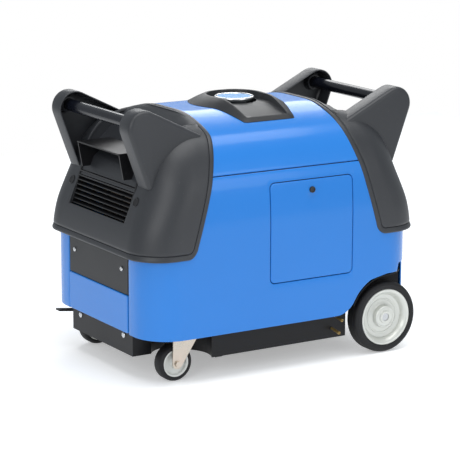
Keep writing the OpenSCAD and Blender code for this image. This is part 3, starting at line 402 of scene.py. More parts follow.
# %% Sheets and rolled edges
def grid(columns, rows, place):
    """A sheet of quads, one corner for each column and row, put where place says."""
    bm = bmesh.new()
    nx, ny = len(columns) - 1, len(rows) - 1
    bmesh.ops.create_grid(bm, x_segments=nx, y_segments=ny, size=0.5)
    for v in bm.verts:
        i = round((v.co.x + 0.5) * nx)
        j = round((v.co.y + 0.5) * ny)
        v.co = place(columns[i], rows[j])
    return bm


def border_frames(bm):
    """For each border vertex: its place, the way out along the sheet, and the way in through it."""
    bm.normal_update()
    found = {}
    for e in bm.edges:
        if not e.is_boundary:
            continue
        f = e.link_faces[0]
        run = (e.verts[1].co - e.verts[0].co).normalized()
        middle = (e.verts[0].co + e.verts[1].co) / 2
        away = middle - f.calc_center_median()
        away = away - run * away.dot(run) - f.normal * away.dot(f.normal)
        for v in e.verts:
            found.setdefault(v, []).append(away.normalized())
    frames = {}
    for v, ways in found.items():
        total = sum(ways, Vector())
        if total.length < 1e-6:
            total = ways[0]
        way = total.normalized()
        # a mitre keeps the roll as wide round a corner as along an edge
        spread = max(0.6, way.dot(ways[0]))
        frames[v] = (v.co.copy(), way / spread, v.normal.copy())
    return frames


def hem(bm, roll=1.5, depth=3.0, steps=3):
    """Rolls every open edge outward and back, then in by depth."""
    frames = border_frames(bm)
    turns = [k * math.pi / 2 / steps for k in range(1, steps + 1)]
    moves = [(roll * math.sin(t), roll * (1 - math.cos(t))) for t in turns] + [(roll, roll + depth)]
    for out, down in moves:
        edges = [e for e in bm.edges if e.is_boundary]
        made = bmesh.ops.extrude_edge_only(bm, edges=edges)["geom"]
        fresh = [g for g in made if isinstance(g, bmesh.types.BMVert)]
        following = {}
        for v in fresh:
            below = [e.other_vert(v) for e in v.link_edges if e.other_vert(v) in frames]
            following[v] = frames[below[0] if below else min(frames, key=lambda u: (u.co - v.co).length)]
        for v in fresh:
            base, way, normal = following[v]
            v.co = base + way * out - normal * down
        frames = following
    return bm


def tube(radii, depth_axis="y", segments=64):
    """A ring of rings: each entry is (radius, distance along the axis)."""
    bm = bmesh.new()
    made = bmesh.ops.create_circle(bm, segments=segments, radius=1.0)
    ring = made["verts"]
    edges = list(bm.edges)
    unit = {v: v.co.copy() for v in ring}

    def put(verts, radius, along):
        for v in verts:
            u = unit[v]
            if depth_axis == "y":
                v.co = Vector((u.x * radius, along, u.y * radius))
            elif depth_axis == "x":
                v.co = Vector((along, u.x * radius, u.y * radius))
            else:
                v.co = Vector((u.x * radius, u.y * radius, along))

    put(ring, *radii[0])
    for radius, along in radii[1:]:
        made = bmesh.ops.extrude_edge_only(bm, edges=edges)["geom"]
        fresh = [g for g in made if isinstance(g, bmesh.types.BMVert)]
        edges = [g for g in made if isinstance(g, bmesh.types.BMEdge)]
        for v in fresh:
            parent = next(e.other_vert(v) for e in v.link_edges
                          if e.other_vert(v) in unit and e.other_vert(v) not in fresh)
            unit[v] = unit[parent]
        put(fresh, radius, along)
    return bm


def close_ends(bm):
    """Fills every open rim."""
    bmesh.ops.holes_fill(bm, edges=[e for e in bm.edges if e.is_boundary], sides=0)
    return bm


def tidy_normals(bm):
    bmesh.ops.remove_doubles(bm, verts=bm.verts, dist=0.01)
    bmesh.ops.recalc_face_normals(bm, faces=bm.faces)
    return bm


def join(*parts):
    """Several meshes in one."""
    whole = bmesh.new()
    for part in parts:
        mesh = bpy.data.meshes.new("part")
        part.to_mesh(mesh)
        part.free()
        whole.from_mesh(mesh)
        bpy.data.meshes.remove(mesh)
    return whole


def placed(bm, matrix):
    """Moves a mesh, and turns its faces the right way if the move mirrors it."""
    bmesh.ops.transform(bm, matrix=matrix, verts=bm.verts)
    if matrix.determinant() < 0:
        bmesh.ops.reverse_faces(bm, faces=bm.faces)
    return bm


def at(x, y, z):
    return Matrix.Translation((x, y, z))


def flipped(axis):
    return Matrix.Scale(-1, 4, axis)


X_AXIS = Vector((1, 0, 0))
Y_AXIS = Vector((0, 1, 0))


def piece(name, bm, material, body, nodes=(), crease=35):
    """Turns a mesh in millimetres into a finished piece that rides on a body."""
    bmesh.ops.scale(bm, vec=(0.001, 0.001, 0.001), verts=bm.verts)
    bm.normal_update()
    for f in bm.faces:
        f.smooth = True
    for e in bm.edges:
        e.smooth = e.is_boundary or not e.is_manifold or e.calc_face_angle(0) < math.radians(crease)
    mesh = bpy.data.meshes.new(name)
    bm.to_mesh(mesh)
    bm.free()
    obj = bpy.data.objects.new(name, mesh)
    bpy.context.scene.collection.objects.link(obj)
    mesh.materials.append(material)
    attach(obj, body)
    if nodes:
        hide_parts(*nodes)
    print(name, len(mesh.polygons), "faces")


print("tools for sheets, hems, tubes and pieces are ready")

# %% [markdown]
# ## Blue pressed panels
# The coloured case is thin sheet that is pressed and painted, so every free edge rolls inward and
# catches a thin line of light beside a dark joint. Each panel is a grid laid on the case, with its
# columns set where a corner, a door or a wheel arch needs them, and then hemmed.

# %% The wheel arch line
# the skirt turns up in a fillet, follows a circle round the wheel and ends in two flat steps
wheel_low, wheel_high = cad("near_tyre")
wheel_x = (wheel_low.x + wheel_high.x) / 2
wheel_r = (wheel_high.x - wheel_low.x) / 2
arch_cut_r = wheel_r + 21
fillet_r = 50
fillet_z = skirt_z + fillet_r
fillet_x = wheel_x - math.sqrt((arch_cut_r + fillet_r) ** 2 - (fillet_z - wheel_r) ** 2)
touch_x = fillet_x + (wheel_x - fillet_x) * fillet_r / (arch_cut_r + fillet_r)
arch_flat_z = wheel_r + 95.5
rear_skirt_z = wheel_r + 112.5
rear_skirt_x = wheel_x + 32


def lower_edge(x):
    """Height of the lower edge of a side panel at x."""
    if x < fillet_x:
        return skirt_z
    if x < touch_x:
        return fillet_z - math.sqrt(fillet_r**2 - (x - fillet_x) ** 2)
    if x < wheel_x:
        return min(arch_flat_z, wheel_r + math.sqrt(arch_cut_r**2 - (x - wheel_x) ** 2))
    return arch_flat_z if x < rear_skirt_x else rear_skirt_z


print("arch starts at", round(fillet_x), "and touches the wheel circle at", round(touch_x))

# %% [markdown]
# A station is a place where a column or a row of the grid runs. Stations lie close together where
# the sheet bends or an edge turns, and far apart where it is plain.

# %% Station lists
def steps(start, stop, size):
    """Evenly spaced values from start to stop, about size apart."""
    count = max(1, round(abs(stop - start) / size))
    return [start + (stop - start) * k / count for k in range(count + 1)]


def merge(*lists):
    """One rising list without near repeats."""
    out = []
    for value in sorted(v for one in lists for v in one):
        if not out or value - out[-1] > 0.4:
            out.append(value)
    return out


roll = 1.8
gap = 1.5
end_half = 125
door_low, door_high = cad("service_door")
door_mid = (door_low.x + door_high.x) / 2
door_half = (door_high.x - door_low.x) / 2
door_r = 10
ease = [0, 1.5, 3.2, 5.2, 7.5, 10, 12.3]


def corner_steps(radius):
    """Distances from a corner that are dense enough to bend into an arc of that radius."""
    return [radius * e / ease[-1] for e in ease]


print("corner stations:", corner_steps(door_r))

# %% [markdown]
# One sheet makes a side panel, from the middle of one end round to the other. The faces behind the
# door are taken out, and the border of that window is bent into four arcs before it is hemmed.

# %% Side panels
def side_columns(windows):
    """Column stations from the middle of the exhaust end, round the side, to the control end."""
    corner_foot = 137
    straight = 205
    end = [("end", -1, -y) for y in steps(end_half + gap + roll, corner_foot, 6)]
    corner = [("corner", -1, a) for a in steps(90, 0, 7.5)]
    plain = merge(steps(-straight, straight, 15), steps(fillet_x, straight, 4.5), [touch_x], windows)
    side = [("side", 1, x) for x in plain]
    far_corner = [("corner", 1, a) for a in steps(0, 90, 4.5)]
    far_end = [("end", 1, -y) for y in steps(corner_foot, end_half + gap + roll, 6)]
    return end + corner + side + far_corner + far_end


def column_x(column):
    kind, side, value = column
    if kind == "side":
        return value
    if kind == "end":
        return side * half_l
    return side * (half_l - corner_r + corner_r * math.sin(math.radians(value)))


def on_case(column, z):
    kind, side, value = column
    if kind == "side":
        side = -1 if value < 0 else 1
        value = abs(value)
    point = plan_point(case_rows, kind, value, z)
    point.x *= side
    return point


window_low = door_low.z - gap - roll
window_high = door_high.z + gap + roll
window_half = door_half + gap + roll
window_r = door_r + gap + roll
lines = corner_steps(window_r)
top_line = seam_z - gap / 2 - roll
band_rows = [0, 0.12, 0.3, 0.55, 0.8, 1]
upper_rows = merge(
    [window_low + d for d in lines], steps(window_low, window_high, 11), [window_high - d for d in lines],
    steps(window_high, top_line, 7),
)
panel_rows = [("band", t) for t in band_rows[:-1]] + [("upper", z) for z in upper_rows]


def panel_point(column, row):
    low = lower_edge(column_x(column)) + roll
    split = max(window_low, low + 12)
    if row[0] == "band":
        return on_case(column, low + (split - low) * row[1])
    return on_case(column, split + (row[1] - window_low) * (top_line - split) / (top_line - window_low))


def open_window(bm, mid_x, half, low, high, radius):
    """Deletes the faces inside a rounded window and bends its corners."""
    inside = [
        f for f in bm.faces
        if abs(f.calc_center_median().x - mid_x) < half and low < f.calc_center_median().z < high
        and f.calc_center_median().y < 0
    ]
    bmesh.ops.delete(bm, geom=inside, context="FACES")
    for v in bm.verts:
        dx = half - abs(v.co.x - mid_x)
        dz = min(v.co.z - low, high - v.co.z)
        on_rim = (abs(dx) < 0.2 and dz > -0.2) or (abs(dz) < 0.2 and dx > -0.2)
        if not (v.is_boundary and on_rim and dx < radius and dz < radius and v.co.y < 0):
            continue
        # distance from the corner along the two straight edges becomes an angle on the arc
        turn = math.pi / 4 * (1 + (dx - dz) / radius)
        sx = 1 if v.co.x > mid_x else -1
        up = v.co.z > (low + high) / 2
        x = mid_x + sx * (half - radius + radius * math.cos(turn))
        z_in = radius - radius * math.sin(turn)
        z = high - z_in if up else low + z_in
        v.co = plan_point(case_rows, "side", abs(x), z)
        v.co.x = x
    return bm


def make_side_panel():
    windows = merge(
        [door_mid - window_half + d for d in lines], [door_mid + window_half - d for d in lines],
        steps(door_mid - window_half, door_mid + window_half, 13),
    )
    bm = grid(side_columns(windows), panel_rows, panel_point)
    open_window(bm, door_mid, window_half, window_low, window_high, window_r)
    return hem(bm, roll)


piece("near_side_panel", make_side_panel(), PAINT, "chassis", ["side_panel_near"])

# %% [markdown]
# ## Hoods
# Each hood is a charcoal moulding that wraps one end of the case. It could be cut from the loft with
# solids, as the CAD does. Here it is a sheet whose columns follow the slanted edge, so that the band,
# the groove and the rounded lower corner come from the same stations. One half is made and mirrored.

# %% Hood stations
ear_in, ear_out, ear_wall = 125, cad("handle_bars")[1].y + 3.8, 3.5
hood_edge_top, hood_edge_low, hood_edge_r = half_l - 170, half_l - 107, 25
opening_z, opening_half = 321, 119
well_line = [Vector((half_l - 163, crown_z + 8)), Vector((half_l - 83, 458)), Vector((half_l - 20, 408))]
band = [0, 0.8, 1.8, 4.5, 8.2, 9.4, 10.3, 11.2, 12.4, 16, 20, hood_edge_r]
band_height = [0.5, 1.2, 1.7, 1.9, 1.9, 1.5, 0.2, 1.5, 2.5, 2.8, 2.8, 2.8]
wrap_z = crown_z - 16
# the straight sides of the end opening stop at the first height, and the ears begin at the second
opening_side_z, ear_foot_z = 402, 408
# where the raised band and its groove end, and how wide the skin beyond them stays over the crown
groove_end, tuck = band[8], 1.2


def hood_edge(z):
    """Where the slanted edge of the hood runs at height z."""
    low_z = lip_z + hood_edge_r
    lean = (hood_edge_top - hood_edge_low) / (crown_z - 32 - low_z)
    return min(hood_edge_low, max(hood_edge_top, hood_edge_low + (z - low_z) * lean)) + roll


def way_round(z, s):
    """A point s along the section at height z, from the hood edge towards the middle of the end."""
    length, width, r = section(hood_rows, z)
    x = hood_edge(z)
    flat = length - r - x
    if flat < 0:
        s += math.asin(min(1, -flat / r)) * r
        flat = 0
    if s < flat:
        return Vector((x + s, -width, z))
    if s < flat + r * math.pi / 2:
        turn = (s - flat) / r
        return Vector((length - r + r * math.sin(turn), -(width - r) - r * math.cos(turn), z))
    return Vector((length, -(width - r) + (s - flat - r * math.pi / 2), z))


def span_to(z, y):
    """How far round the section lies the point at half width y."""
    low, high = 0.0, 600.0
    for _ in range(30):
        mid = (low + high) / 2
        if way_round(z, mid).y < -y:
            low = mid
        else:
            high = mid
    return low


def top_height(x):
    """Height of the crown line at x."""
    low, high = 400.0, crown_z
    for _ in range(30):
        mid = (low + high) / 2
        if section(case_rows, mid)[0] > x:
            low = mid
        else:
            high = mid
    return low


print("crown line at 162:", round(top_height(162), 1))

# %% [markdown]
# The skin is one grid for each half. Its first columns carry the raised band and the groove beside
# it, the next ones run round the corner, and the last ones cross the end above the opening.

# %% Hood skin
def height_at(d):
    """How far the hood stands proud at distance d from its edge."""
    for k in range(len(band) - 1):
        if d <= band[k + 1]:
            t = max(0, (d - band[k]) / (band[k + 1] - band[k]))
            return band_height[k] + (band_height[k + 1] - band_height[k]) * t
    return band_height[-1]


rest = [k / 34 for k in range(1, 35)]
inner = [k / 9 for k in range(1, 10)]
hood_columns = [("band", d) for d in band] + [("rest", t) for t in rest] + [("inner", t) for t in inner]
low_rows = [lip_z + roll + d for d in band]
hood_z = merge(
    low_rows, steps(low_rows[-1], opening_z, 6), steps(opening_z, opening_side_z, 8),
    [opening_side_z, ear_foot_z], steps(ear_foot_z, wrap_z, 6),
)
arch_rows = [("arch", 1 - (1 - k / 9) ** 2) for k in range(1, 10)]
hood_row_list = [("z", z) for z in hood_z] + arch_rows + [("crown", k / 5) for k in range(1, 6)]
print("hood half:", len(hood_columns), "columns and", len(hood_row_list), "rows")


def hood_point(column, row):
    kind, value = column
    if row[0] != "z":
        # over the crown the skin beyond the groove is gathered into a narrow strip
        if kind == "band":
            d = value if value < groove_end + tuck else groove_end + 0.001 * value
        else:
            d = groove_end + tuck * (value if kind == "rest" else 1)
        x = hood_edge(wrap_z) + d
        top = top_height(x) - 0.02
        z = top if row[0] == "crown" else wrap_z + (top - wrap_z) * row[1]
        point = plan_point(case_rows, "side", x, z)
        if row[0] == "crown":
            point.y *= 1 - row[1]
        return point
    z = row[1]
    end = opening_half if z <= opening_side_z else ear_in + 1
    reach = max(span_to(z, end), groove_end + tuck)
    scale = min(1, (reach - 1) / band[-1])
    if kind == "band":
        s, h = value, z - lip_z - roll
        if s < hood_edge_r and h < hood_edge_r:
            # the square corner of stations bends into arcs round one centre
            m = min(s, h)
            turn = math.pi / 4 * (1 + (s - h) / (hood_edge_r - m))
            s = hood_edge_r - (hood_edge_r - m) * math.cos(turn)
            h = hood_edge_r - (hood_edge_r - m) * math.sin(turn)
            return way_round(lip_z + roll + h, s)
        return way_round(z, s * scale if scale < 1 and s > groove_end else s)
    start = band[-1] * scale
    if kind == "rest":
        return way_round(z, start + (reach - start) * value)
    face = way_round(z, reach)
    return Vector((face.x, face.y * (1 - value), z))


def hood_half():
    nx, ny = len(hood_columns) - 1, len(hood_row_list) - 1
    bm = bmesh.new()
    bmesh.ops.create_grid(bm, x_segments=nx, y_segments=ny, size=0.5)
    edge_i = len(band) + len(rest) - 1
    edge_j = hood_z.index(min(hood_z, key=lambda z: abs(z - opening_z)))
    gone = []
    for f in bm.faces:
        c = f.calc_center_median()
        if (c.x + 0.5) * nx > edge_i and (c.y + 0.5) * ny > edge_j:
            gone.append(f)
    bmesh.ops.delete(bm, geom=gone, context="FACES")
    lift = {}
    for v in bm.verts:
        i, j = round((v.co.x + 0.5) * nx), round((v.co.y + 0.5) * ny)
        column, row = hood_columns[i], hood_row_list[j]
        across = column[1] if column[0] == "band" else 99
        up = row[1] - lip_z - roll if row[0] == "z" else 99
        lift[v] = height_at(min(across, up))
        v.co = hood_point(column, row)
    bmesh.ops.recalc_face_normals(bm, faces=bm.faces)
    bm.normal_update()
    if sum(f.normal.dot(f.calc_center_median()) for f in bm.faces) < 0:
        bmesh.ops.reverse_faces(bm, faces=bm.faces)
        bm.normal_update()
    moved = {v: v.co + v.normal * lift[v] for v in bm.verts}
    for v, co in moved.items():
        v.co = co
        if v.co.y > -0.5:
            v.co.y = 0
    bmesh.ops.remove_doubles(bm, verts=bm.verts, dist=0.05)
    return bm


# %% [markdown]
# An ear's outline is the line a belt would take round three circles. Offsetting that line and moving
# it sideways, ring by ring, gives the ear its thin wall and its rounded outer edge.

# %% Ears, the well between them, and sockets for the bar
def tangent(a, ra, b, rb):
    """Direction from a circle's centre to where the belt leaves it for the next circle."""
    run = b - a
    return math.atan2(run.y, run.x) - math.pi / 2 - math.asin((rb - ra) / run.length)


def belt(circles, arc=10):
    """The line round three circles as (centre, radius, direction), the same for every offset."""
    out = []
    count = len(circles)
    for k in range(count):
        (pc, pr), (c, r), (nc, nr) = circles[k - 1], circles[k], circles[(k + 1) % count]
        start, stop = tangent(pc, pr, c, r), tangent(c, r, nc, nr)
        while stop < start:
            stop += 2 * math.pi
        turns = max(3, round(math.degrees(stop - start) / arc))
        for i in range(turns + 1):
            a = start + (stop - start) * i / turns
            out.append((c, r, Vector((math.cos(a), math.sin(a)))))
    return out


def rings(line, profile):
    """Lofts a belt line through (offset, y) pairs by extruding its edge loop."""
    bm = bmesh.new()
    made = bmesh.ops.create_circle(bm, segments=len(line), radius=1.0)
    ring = made["verts"]
    edges = list(bm.edges)
    slot_of = {v: k for k, v in enumerate(ring)}

    def put(verts, offset, y):
        for v in verts:
            centre, r, way = line[slot_of[v]]
            p = centre + way * (r - offset)
            v.co = Vector((p.x, y, p.y))

    put(ring, *profile[0])
    for offset, y in profile[1:]:
        made = bmesh.ops.extrude_edge_only(bm, edges=edges)["geom"]
        fresh = [g for g in made if isinstance(g, bmesh.types.BMVert)]
        edges = [g for g in made if isinstance(g, bmesh.types.BMEdge) and g.is_boundary]
        fresh_set = set(fresh)
        for v in fresh:
            parent = next(e.other_vert(v) for e in v.link_edges
                          if e.other_vert(v) in slot_of and e.other_vert(v) not in fresh_set)
            slot_of[v] = slot_of[parent]
        edges = [e for e in edges if all(v in fresh_set for v in e.verts)]
        put(fresh, offset, y)
    close_ends(bm)
    bmesh.ops.recalc_face_normals(bm, faces=bm.faces)
    return bm


nose = (Vector((half_l - 18, crown_z - 7.3)), 36)
low_circle = (Vector((half_l - 37, 405)), 15)
tail = (Vector((half_l - 145, crown_z - 44)), 13)
ear_line = belt([low_circle, nose, tail])
bevel = 9


def ear(side):
    """A hollow ear, from its inner face, over its rim, to the rounded edge of its outer face."""
    inside_y = -ear_out + ear_wall
    profile = [
        (8, inside_y), (ear_wall + 3, inside_y), (ear_wall, inside_y + 3),
        (ear_wall, -ear_in - 2), (ear_wall - 0.4, -ear_in - 0.8), (ear_wall - 1.2, -ear_in),
        (1.2, -ear_in), (0.4, -ear_in - 0.8), (0, -ear_in - 2),
    ]
    for k in range(0, 7):
        a = k * math.pi / 12
        profile.append((bevel * (1 - math.cos(a)), -ear_out + bevel - bevel * math.sin(a)))
    bm = rings(ear_line, profile)
    return bm if side < 0 else placed(bm, flipped(Y_AXIS))


def bar_socket(side):
    bar_r = 12.5
    bar_x, bar_z = cad("handle_bars")[1].x - bar_r, cad("handle_bars")[0].z + bar_r
    collar = [(12.6, 17), (12.6, 19), (13.4, 19.8), (16, 19.8), (16.8, 19), (17.5, 5), (20, 3)]
    bm = tube([(radius, -ear_out + depth) for radius, depth in collar], "y", 40)
    bmesh.ops.translate(bm, vec=(bar_x, 0, bar_z), verts=bm.verts)
    bmesh.ops.recalc_face_normals(bm, faces=bm.faces)
    return bm if side < 0 else placed(bm, flipped(Y_AXIS))


def well_height(x):
    """Height of the sloping floor between the ears."""
    for a, b in zip(well_line, well_line[1:]):
        if x <= b.x:
            break
    return a.y + (b.y - a.y) * (x - a.x) / (b.x - a.x)


def skin_top(x, y):
    """Height of the case surface above a point of the plan."""
    low, high = 300.0, crown_z + 2
    for _ in range(26):
        mid = (low + high) / 2
        length, width, r = section(hood_rows, mid)
        dx, dy = max(0, x - (length - r)), max(0, y - (width - r))
        if x < length and y < width and math.hypot(dx, dy) < r:
            low = mid
        else:
            high = mid
    return low


def well():
    """The floor between the ears and its two side walls."""
    xs = merge(
        [half_l - 158.5], steps(half_l - 155, half_l - 92, 9), steps(half_l - 90, half_l - 76, 2.4),
        steps(half_l - 74, half_l - 20, 9),
    )

    def eased(x):
        return sum(well_height(x + d) for d in (-6, -3, 0, 3, 6)) / 5

    def floor_point(x, y):
        return Vector((x, y, min(eased(x), skin_top(x, abs(y)) + 3.2)))

    floor = grid(xs, steps(-ear_in - 2, ear_in + 2, 9), floor_point)
    bmesh.ops.recalc_face_normals(floor, faces=floor.faces)
    sides = []
    for s in (-1, 1):
        def wall_point(x, t, s=s):
            high = skin_top(x, ear_in + 2) + 2.8
            low = min(well_height(x) - 1, high - 0.4)
            return Vector((x, s * (ear_in + 1), low + (high - low) * t))
        sides.append(grid(xs, [k / 5 for k in range(6)], wall_point))
    whole = join(floor, *sides)
    bmesh.ops.solidify(whole, geom=whole.faces[:], thickness=2.4)
    bmesh.ops.recalc_face_normals(whole, faces=whole.faces)
    return whole


print("ear line has", len(ear_line), "points")

# %% [markdown]
# A dark cup sits beside each ear where the hood is screwed to the case. It stands square to the skin,
# so its axis comes from two short steps along the surface.

# %% Sunk screws in the corners of the hoods
def sunk_screw(side):
    """A moulded cup with a screw at its bottom."""
    cup = [(9.5, 0.2), (8.6, 0.9), (7.4, 0.9), (6.2, -0.4), (5.4, -5)]
    screw = [(4.6, -5), (4.4, -3.4), (2.2, -2.8), (1.2, -4.2)]
    bm = close_ends(tube(cup + screw, "x", 28))
    y, z, step = ear_in + 10, 366, 4

    def on_skin(y, z):
        return way_round(z, span_to(z, y))

    place = on_skin(y, z)
    ahead = on_skin(y - step, z) - on_skin(y + step, z)
    rise = on_skin(y, z + step) - on_skin(y, z - step)
    out = ahead.cross(rise).normalized()
    out = out if out.x > 0 else -out
    turn = X_AXIS.rotation_difference(out).to_matrix().to_4x4()
    bm = placed(bm, at(*(place + out * 3.5)) @ turn)
    bmesh.ops.recalc_face_normals(bm, faces=bm.faces)
    return bm if side < 0 else placed(bm, flipped(Y_AXIS))


print("screw point", [round(c, 1) for c in way_round(366, span_to(366, ear_in + 10))])

# %% [markdown]
# Skin, well, ears and sockets join into one piece for each end. The exhaust end is the mirror image.

# %% Put the hoods together
def make_hood():
    near, far = hood_half(), placed(hood_half(), flipped(Y_AXIS))
    skin = join(near, far)
    bmesh.ops.remove_doubles(skin, verts=skin.verts, dist=0.05)
    skin = hem(skin, roll, 3.0)
    bmesh.ops.recalc_face_normals(skin, faces=skin.faces)
    return join(skin, well(), ear(-1), ear(1), bar_socket(-1), bar_socket(1))


def hood_screws():
    return join(sunk_screw(-1), sunk_screw(1))


piece("exhaust_end_hood", placed(make_hood(), flipped(X_AXIS)), HOOD, "chassis",
      ["exhaust_hood"])
piece("control_end_hood", make_hood(), HOOD, "chassis", ["control_hood"])
piece("exhaust_end_screws", placed(hood_screws(), flipped(X_AXIS)), LOUVRE, "chassis")
piece("control_end_screws", hood_screws(), LOUVRE, "chassis")

# %% [markdown]
# ## Top cover, door and the small end panels
# The cover is one arch from seam to seam. Its columns stretch with the slanted hood edge, so both of
# its ends stay parallel to the hoods and pass a little under them. The rows bunch up near the crown.

# %% Top cover
under_hood = 8


def cover_point(column, row):
    """A point of the cover: column runs from -1 to 1 along it, and row from the seam to the crown."""
    if row[0] == "z":
        z = row[1]
        x = column * (hood_edge(z) + under_hood - 2 * roll)
        point = plan_point(case_rows, "side", abs(x), z)
        point.x = x
        return point
    x = column * (hood_edge(wrap_z) + under_hood - 2 * roll)
    top = min(top_height(abs(x)) - 0.02, crown_z - 0.02)
    z = top if row[0] == "crown" else wrap_z + (top - wrap_z) * row[1]
    point = plan_point(case_rows, "side", abs(x), z)
    point.x = x
    if row[0] == "crown":
        point.y *= 1 - row[1]
    return point


def open_round(bm, x, y, z, radius, axis):
    """Deletes the faces inside a circle and draws the ragged border onto it."""
    centre = Vector((x, y, z))

    def off(co):
        d = co - centre
        d[axis] = 0
        return d

    inside = [f for f in bm.faces if off(f.calc_center_median()).length < radius
              and (axis == 2 or f.calc_center_median().y * y > 0)]
    rim = {v for f in inside for v in f.verts}
    bmesh.ops.delete(bm, geom=inside, context="FACES")
    for v in bm.verts:
        if v in rim and v.is_boundary:
            d = off(v.co)
            v.co += d * (radius / d.length - 1)
    return bm


def make_cover():
    columns = [k / 52 for k in range(-52, 53)]
    rows = [("z", z) for z in steps(seam_z + gap / 2 + roll, wrap_z, 5.5)]
    rows += arch_rows + [("crown", k / 10) for k in range(1, 11)]
    near = grid(columns, rows, cover_point)
    bmesh.ops.recalc_face_normals(near, faces=near.faces)
    if sum(f.normal.z for f in near.faces) < 0:
        bmesh.ops.reverse_faces(near, faces=near.faces)
    far = near.copy()
    bm = join(near, placed(far, flipped(Y_AXIS)))
    bmesh.ops.remove_doubles(bm, verts=bm.verts, dist=0.05)
    cap_low, cap_high = cad("fuel_cap")
    filler_r = 52
    open_round(bm, (cap_low.x + cap_high.x) / 2, 0, crown_z, filler_r, 2)
    return hem(bm, roll, 2.5)


piece("case_cover", make_cover(), PAINT, "chassis", ["top_cover"])

# %% [markdown]
# The door is a rounded plate laid on the same side as its panel, so the gap between them stays even.
# A shallow dimple under the latch leaves room for a finger.

# %% Service door
def rounded(s, h, radius):
    """Bends the square corner of two station distances into arcs."""
    if s >= radius or h >= radius:
        return s, h
    m = min(s, h)
    turn = math.pi / 4 * (1 + (s - h) / (radius - m))
    return radius - (radius - m) * math.cos(turn), radius - (radius - m) * math.sin(turn)


def plate_stations(low, high, radius, size):
    near = corner_steps(radius)
    return merge([low + d for d in near], steps(low + radius, high - radius, size), [high - d for d in near])


def plate(low_x, high_x, low_z, high_z, radius, size, place):
    """A rounded rectangle of quads, laid where place(x, z) says."""
    xs, zs = plate_stations(low_x, high_x, radius, size), plate_stations(low_z, high_z, radius, size)

    def corner(x, z):
        sx, sz = min(x - low_x, high_x - x), min(z - low_z, high_z - z)
        s, h = rounded(sx, sz, radius)
        x = low_x + s if x - low_x < high_x - x else high_x - s
        z = low_z + h if z - low_z < high_z - z else high_z - h
        return place(x, z)

    return grid(xs, zs, corner)


def on_near_side(x, z):
    return on_case(("side", 1, x), z)


def face_out(bm, way):
    """Makes an open sheet face along way."""
    bmesh.ops.recalc_face_normals(bm, faces=bm.faces)
    if sum(f.normal.dot(way) * f.calc_area() for f in bm.faces) < 0:
        bmesh.ops.reverse_faces(bm, faces=bm.faces)
    return bm


door_sheet = plate(door_low.x + roll, door_high.x - roll, door_low.z + roll, door_high.z - roll,
                   door_r - roll, 8, on_near_side)
latch_low, latch_high = cad("door_latch")
latch_z = (latch_low.z + latch_high.z) / 2
dimple_r, dimple_z, dimple_depth = 11, latch_z - 16, 2.2
for v in door_sheet.verts:
    d = math.hypot(v.co.x - door_mid, v.co.z - dimple_z)
    if d < dimple_r:
        v.co.y += dimple_depth * (1 - (d / dimple_r) ** 2)
face_out(door_sheet, -Y_AXIS)
piece("near_service_door", hem(door_sheet, roll, 1.6), PAINT, "door", ["service_door"])

knob = tube([(0.4, 1.0), (4.2, 1.0), (4.2, 0.2), (5.4, 0), (6.2, 0.5), (6.5, 1.3), (6.5, 4.3)], "y", 40)
bmesh.ops.translate(knob, vec=(door_mid, latch_low.y, latch_z), verts=knob.verts)
stem = tube([(3.4, 3.6), (3.4, 9.0), (0.4, 9.0)], "y", 24)
bmesh.ops.translate(stem, vec=(door_mid, latch_low.y, latch_z), verts=stem.verts)
catch = bmesh.new()
bmesh.ops.create_cube(catch, size=1)
bmesh.ops.scale(catch, vec=(8, 2.4, 20), verts=catch.verts)
bmesh.ops.translate(catch, vec=(door_mid, latch_high.y - 1.25, latch_z), verts=catch.verts)
bmesh.ops.bevel(catch, geom=catch.edges[:], offset=0.5, segments=2, profile=0.5,
                affect="EDGES", material=-1)
piece("door_latch_knob", tidy_normals(join(knob, stem, catch)), GRIP, "latch", ["door_latch"])

# %% [markdown]
# The far side has no door. It has five air slots and a round hole for the starter cup, and the
# stations that would crowd an edge of a slot are left out.

# %% Far side panel
def make_far_panel():
    slot_ends = (-110, 10)
    slots = [(*slot_ends, 220 + 22 * k, 229 + 22 * k) for k in range(5)]
    pull_x, pull_z, pull_r = 142, 195, 38
    xs = merge(slot_ends, steps(-106, 6, 8), steps(pull_x - pull_r, pull_x + pull_r, 4.5))
    columns = [
        c for c in side_columns(xs)
        if c[0] != "side" or all(abs(c[2] - e) > 0.8 or c[2] == e for e in slot_ends)
    ]
    levels = [z for _, _, a, b in slots for z in (a, b)]
    zs = merge(levels, [z for z in steps(window_low, top_line, 5) if all(abs(z - l) > 1.2 for l in levels)])
    rows = [("band", t) for t in band_rows[:-1]] + [("upper", z) for z in zs]

    def far_point(column, row):
        low = lower_edge(column_x(column)) + roll
        split = max(window_low, low + 12)
        if row[0] == "band":
            return on_case(column, low + (split - low) * row[1])
        if split == window_low:
            return on_case(column, row[1])
        return on_case(column, split + (row[1] - window_low) * (top_line - split) / (top_line - window_low))

    bm = grid(columns, rows, far_point)
    face_out(bm, -Y_AXIS)
    for low_x, high_x, low_z, high_z in slots:
        gone = [f for f in bm.faces if low_x < f.calc_center_median().x < high_x
                and low_z < f.calc_center_median().z < high_z and abs(f.normal.x) < 0.5]
        bmesh.ops.delete(bm, geom=gone, context="FACES")
    open_round(bm, pull_x, -half_w, pull_z, pull_r, 1)
    return placed(hem(bm, 1.2, 2.4), flipped(Y_AXIS))


piece("far_side_panel", make_far_panel(), PAINT, "chassis", ["side_panel_far"])

# %% [markdown]
# Three small plates close the ends below the hoods: the dark nose panel and the two blue bumpers.

# %% End panels
def end_sheet(side, half, low, high, out):
    """A hemmed plate across one end of the case, standing out by out."""
    def on_end(y, z):
        return Vector((side * (section(case_rows, z)[0] + out), y, z))

    bm = plate(-half + roll, half - roll, low + roll, high - roll, 2.5, 9, on_end)
    face_out(bm, X_AXIS * side)
    return hem(bm, roll, 2.0)


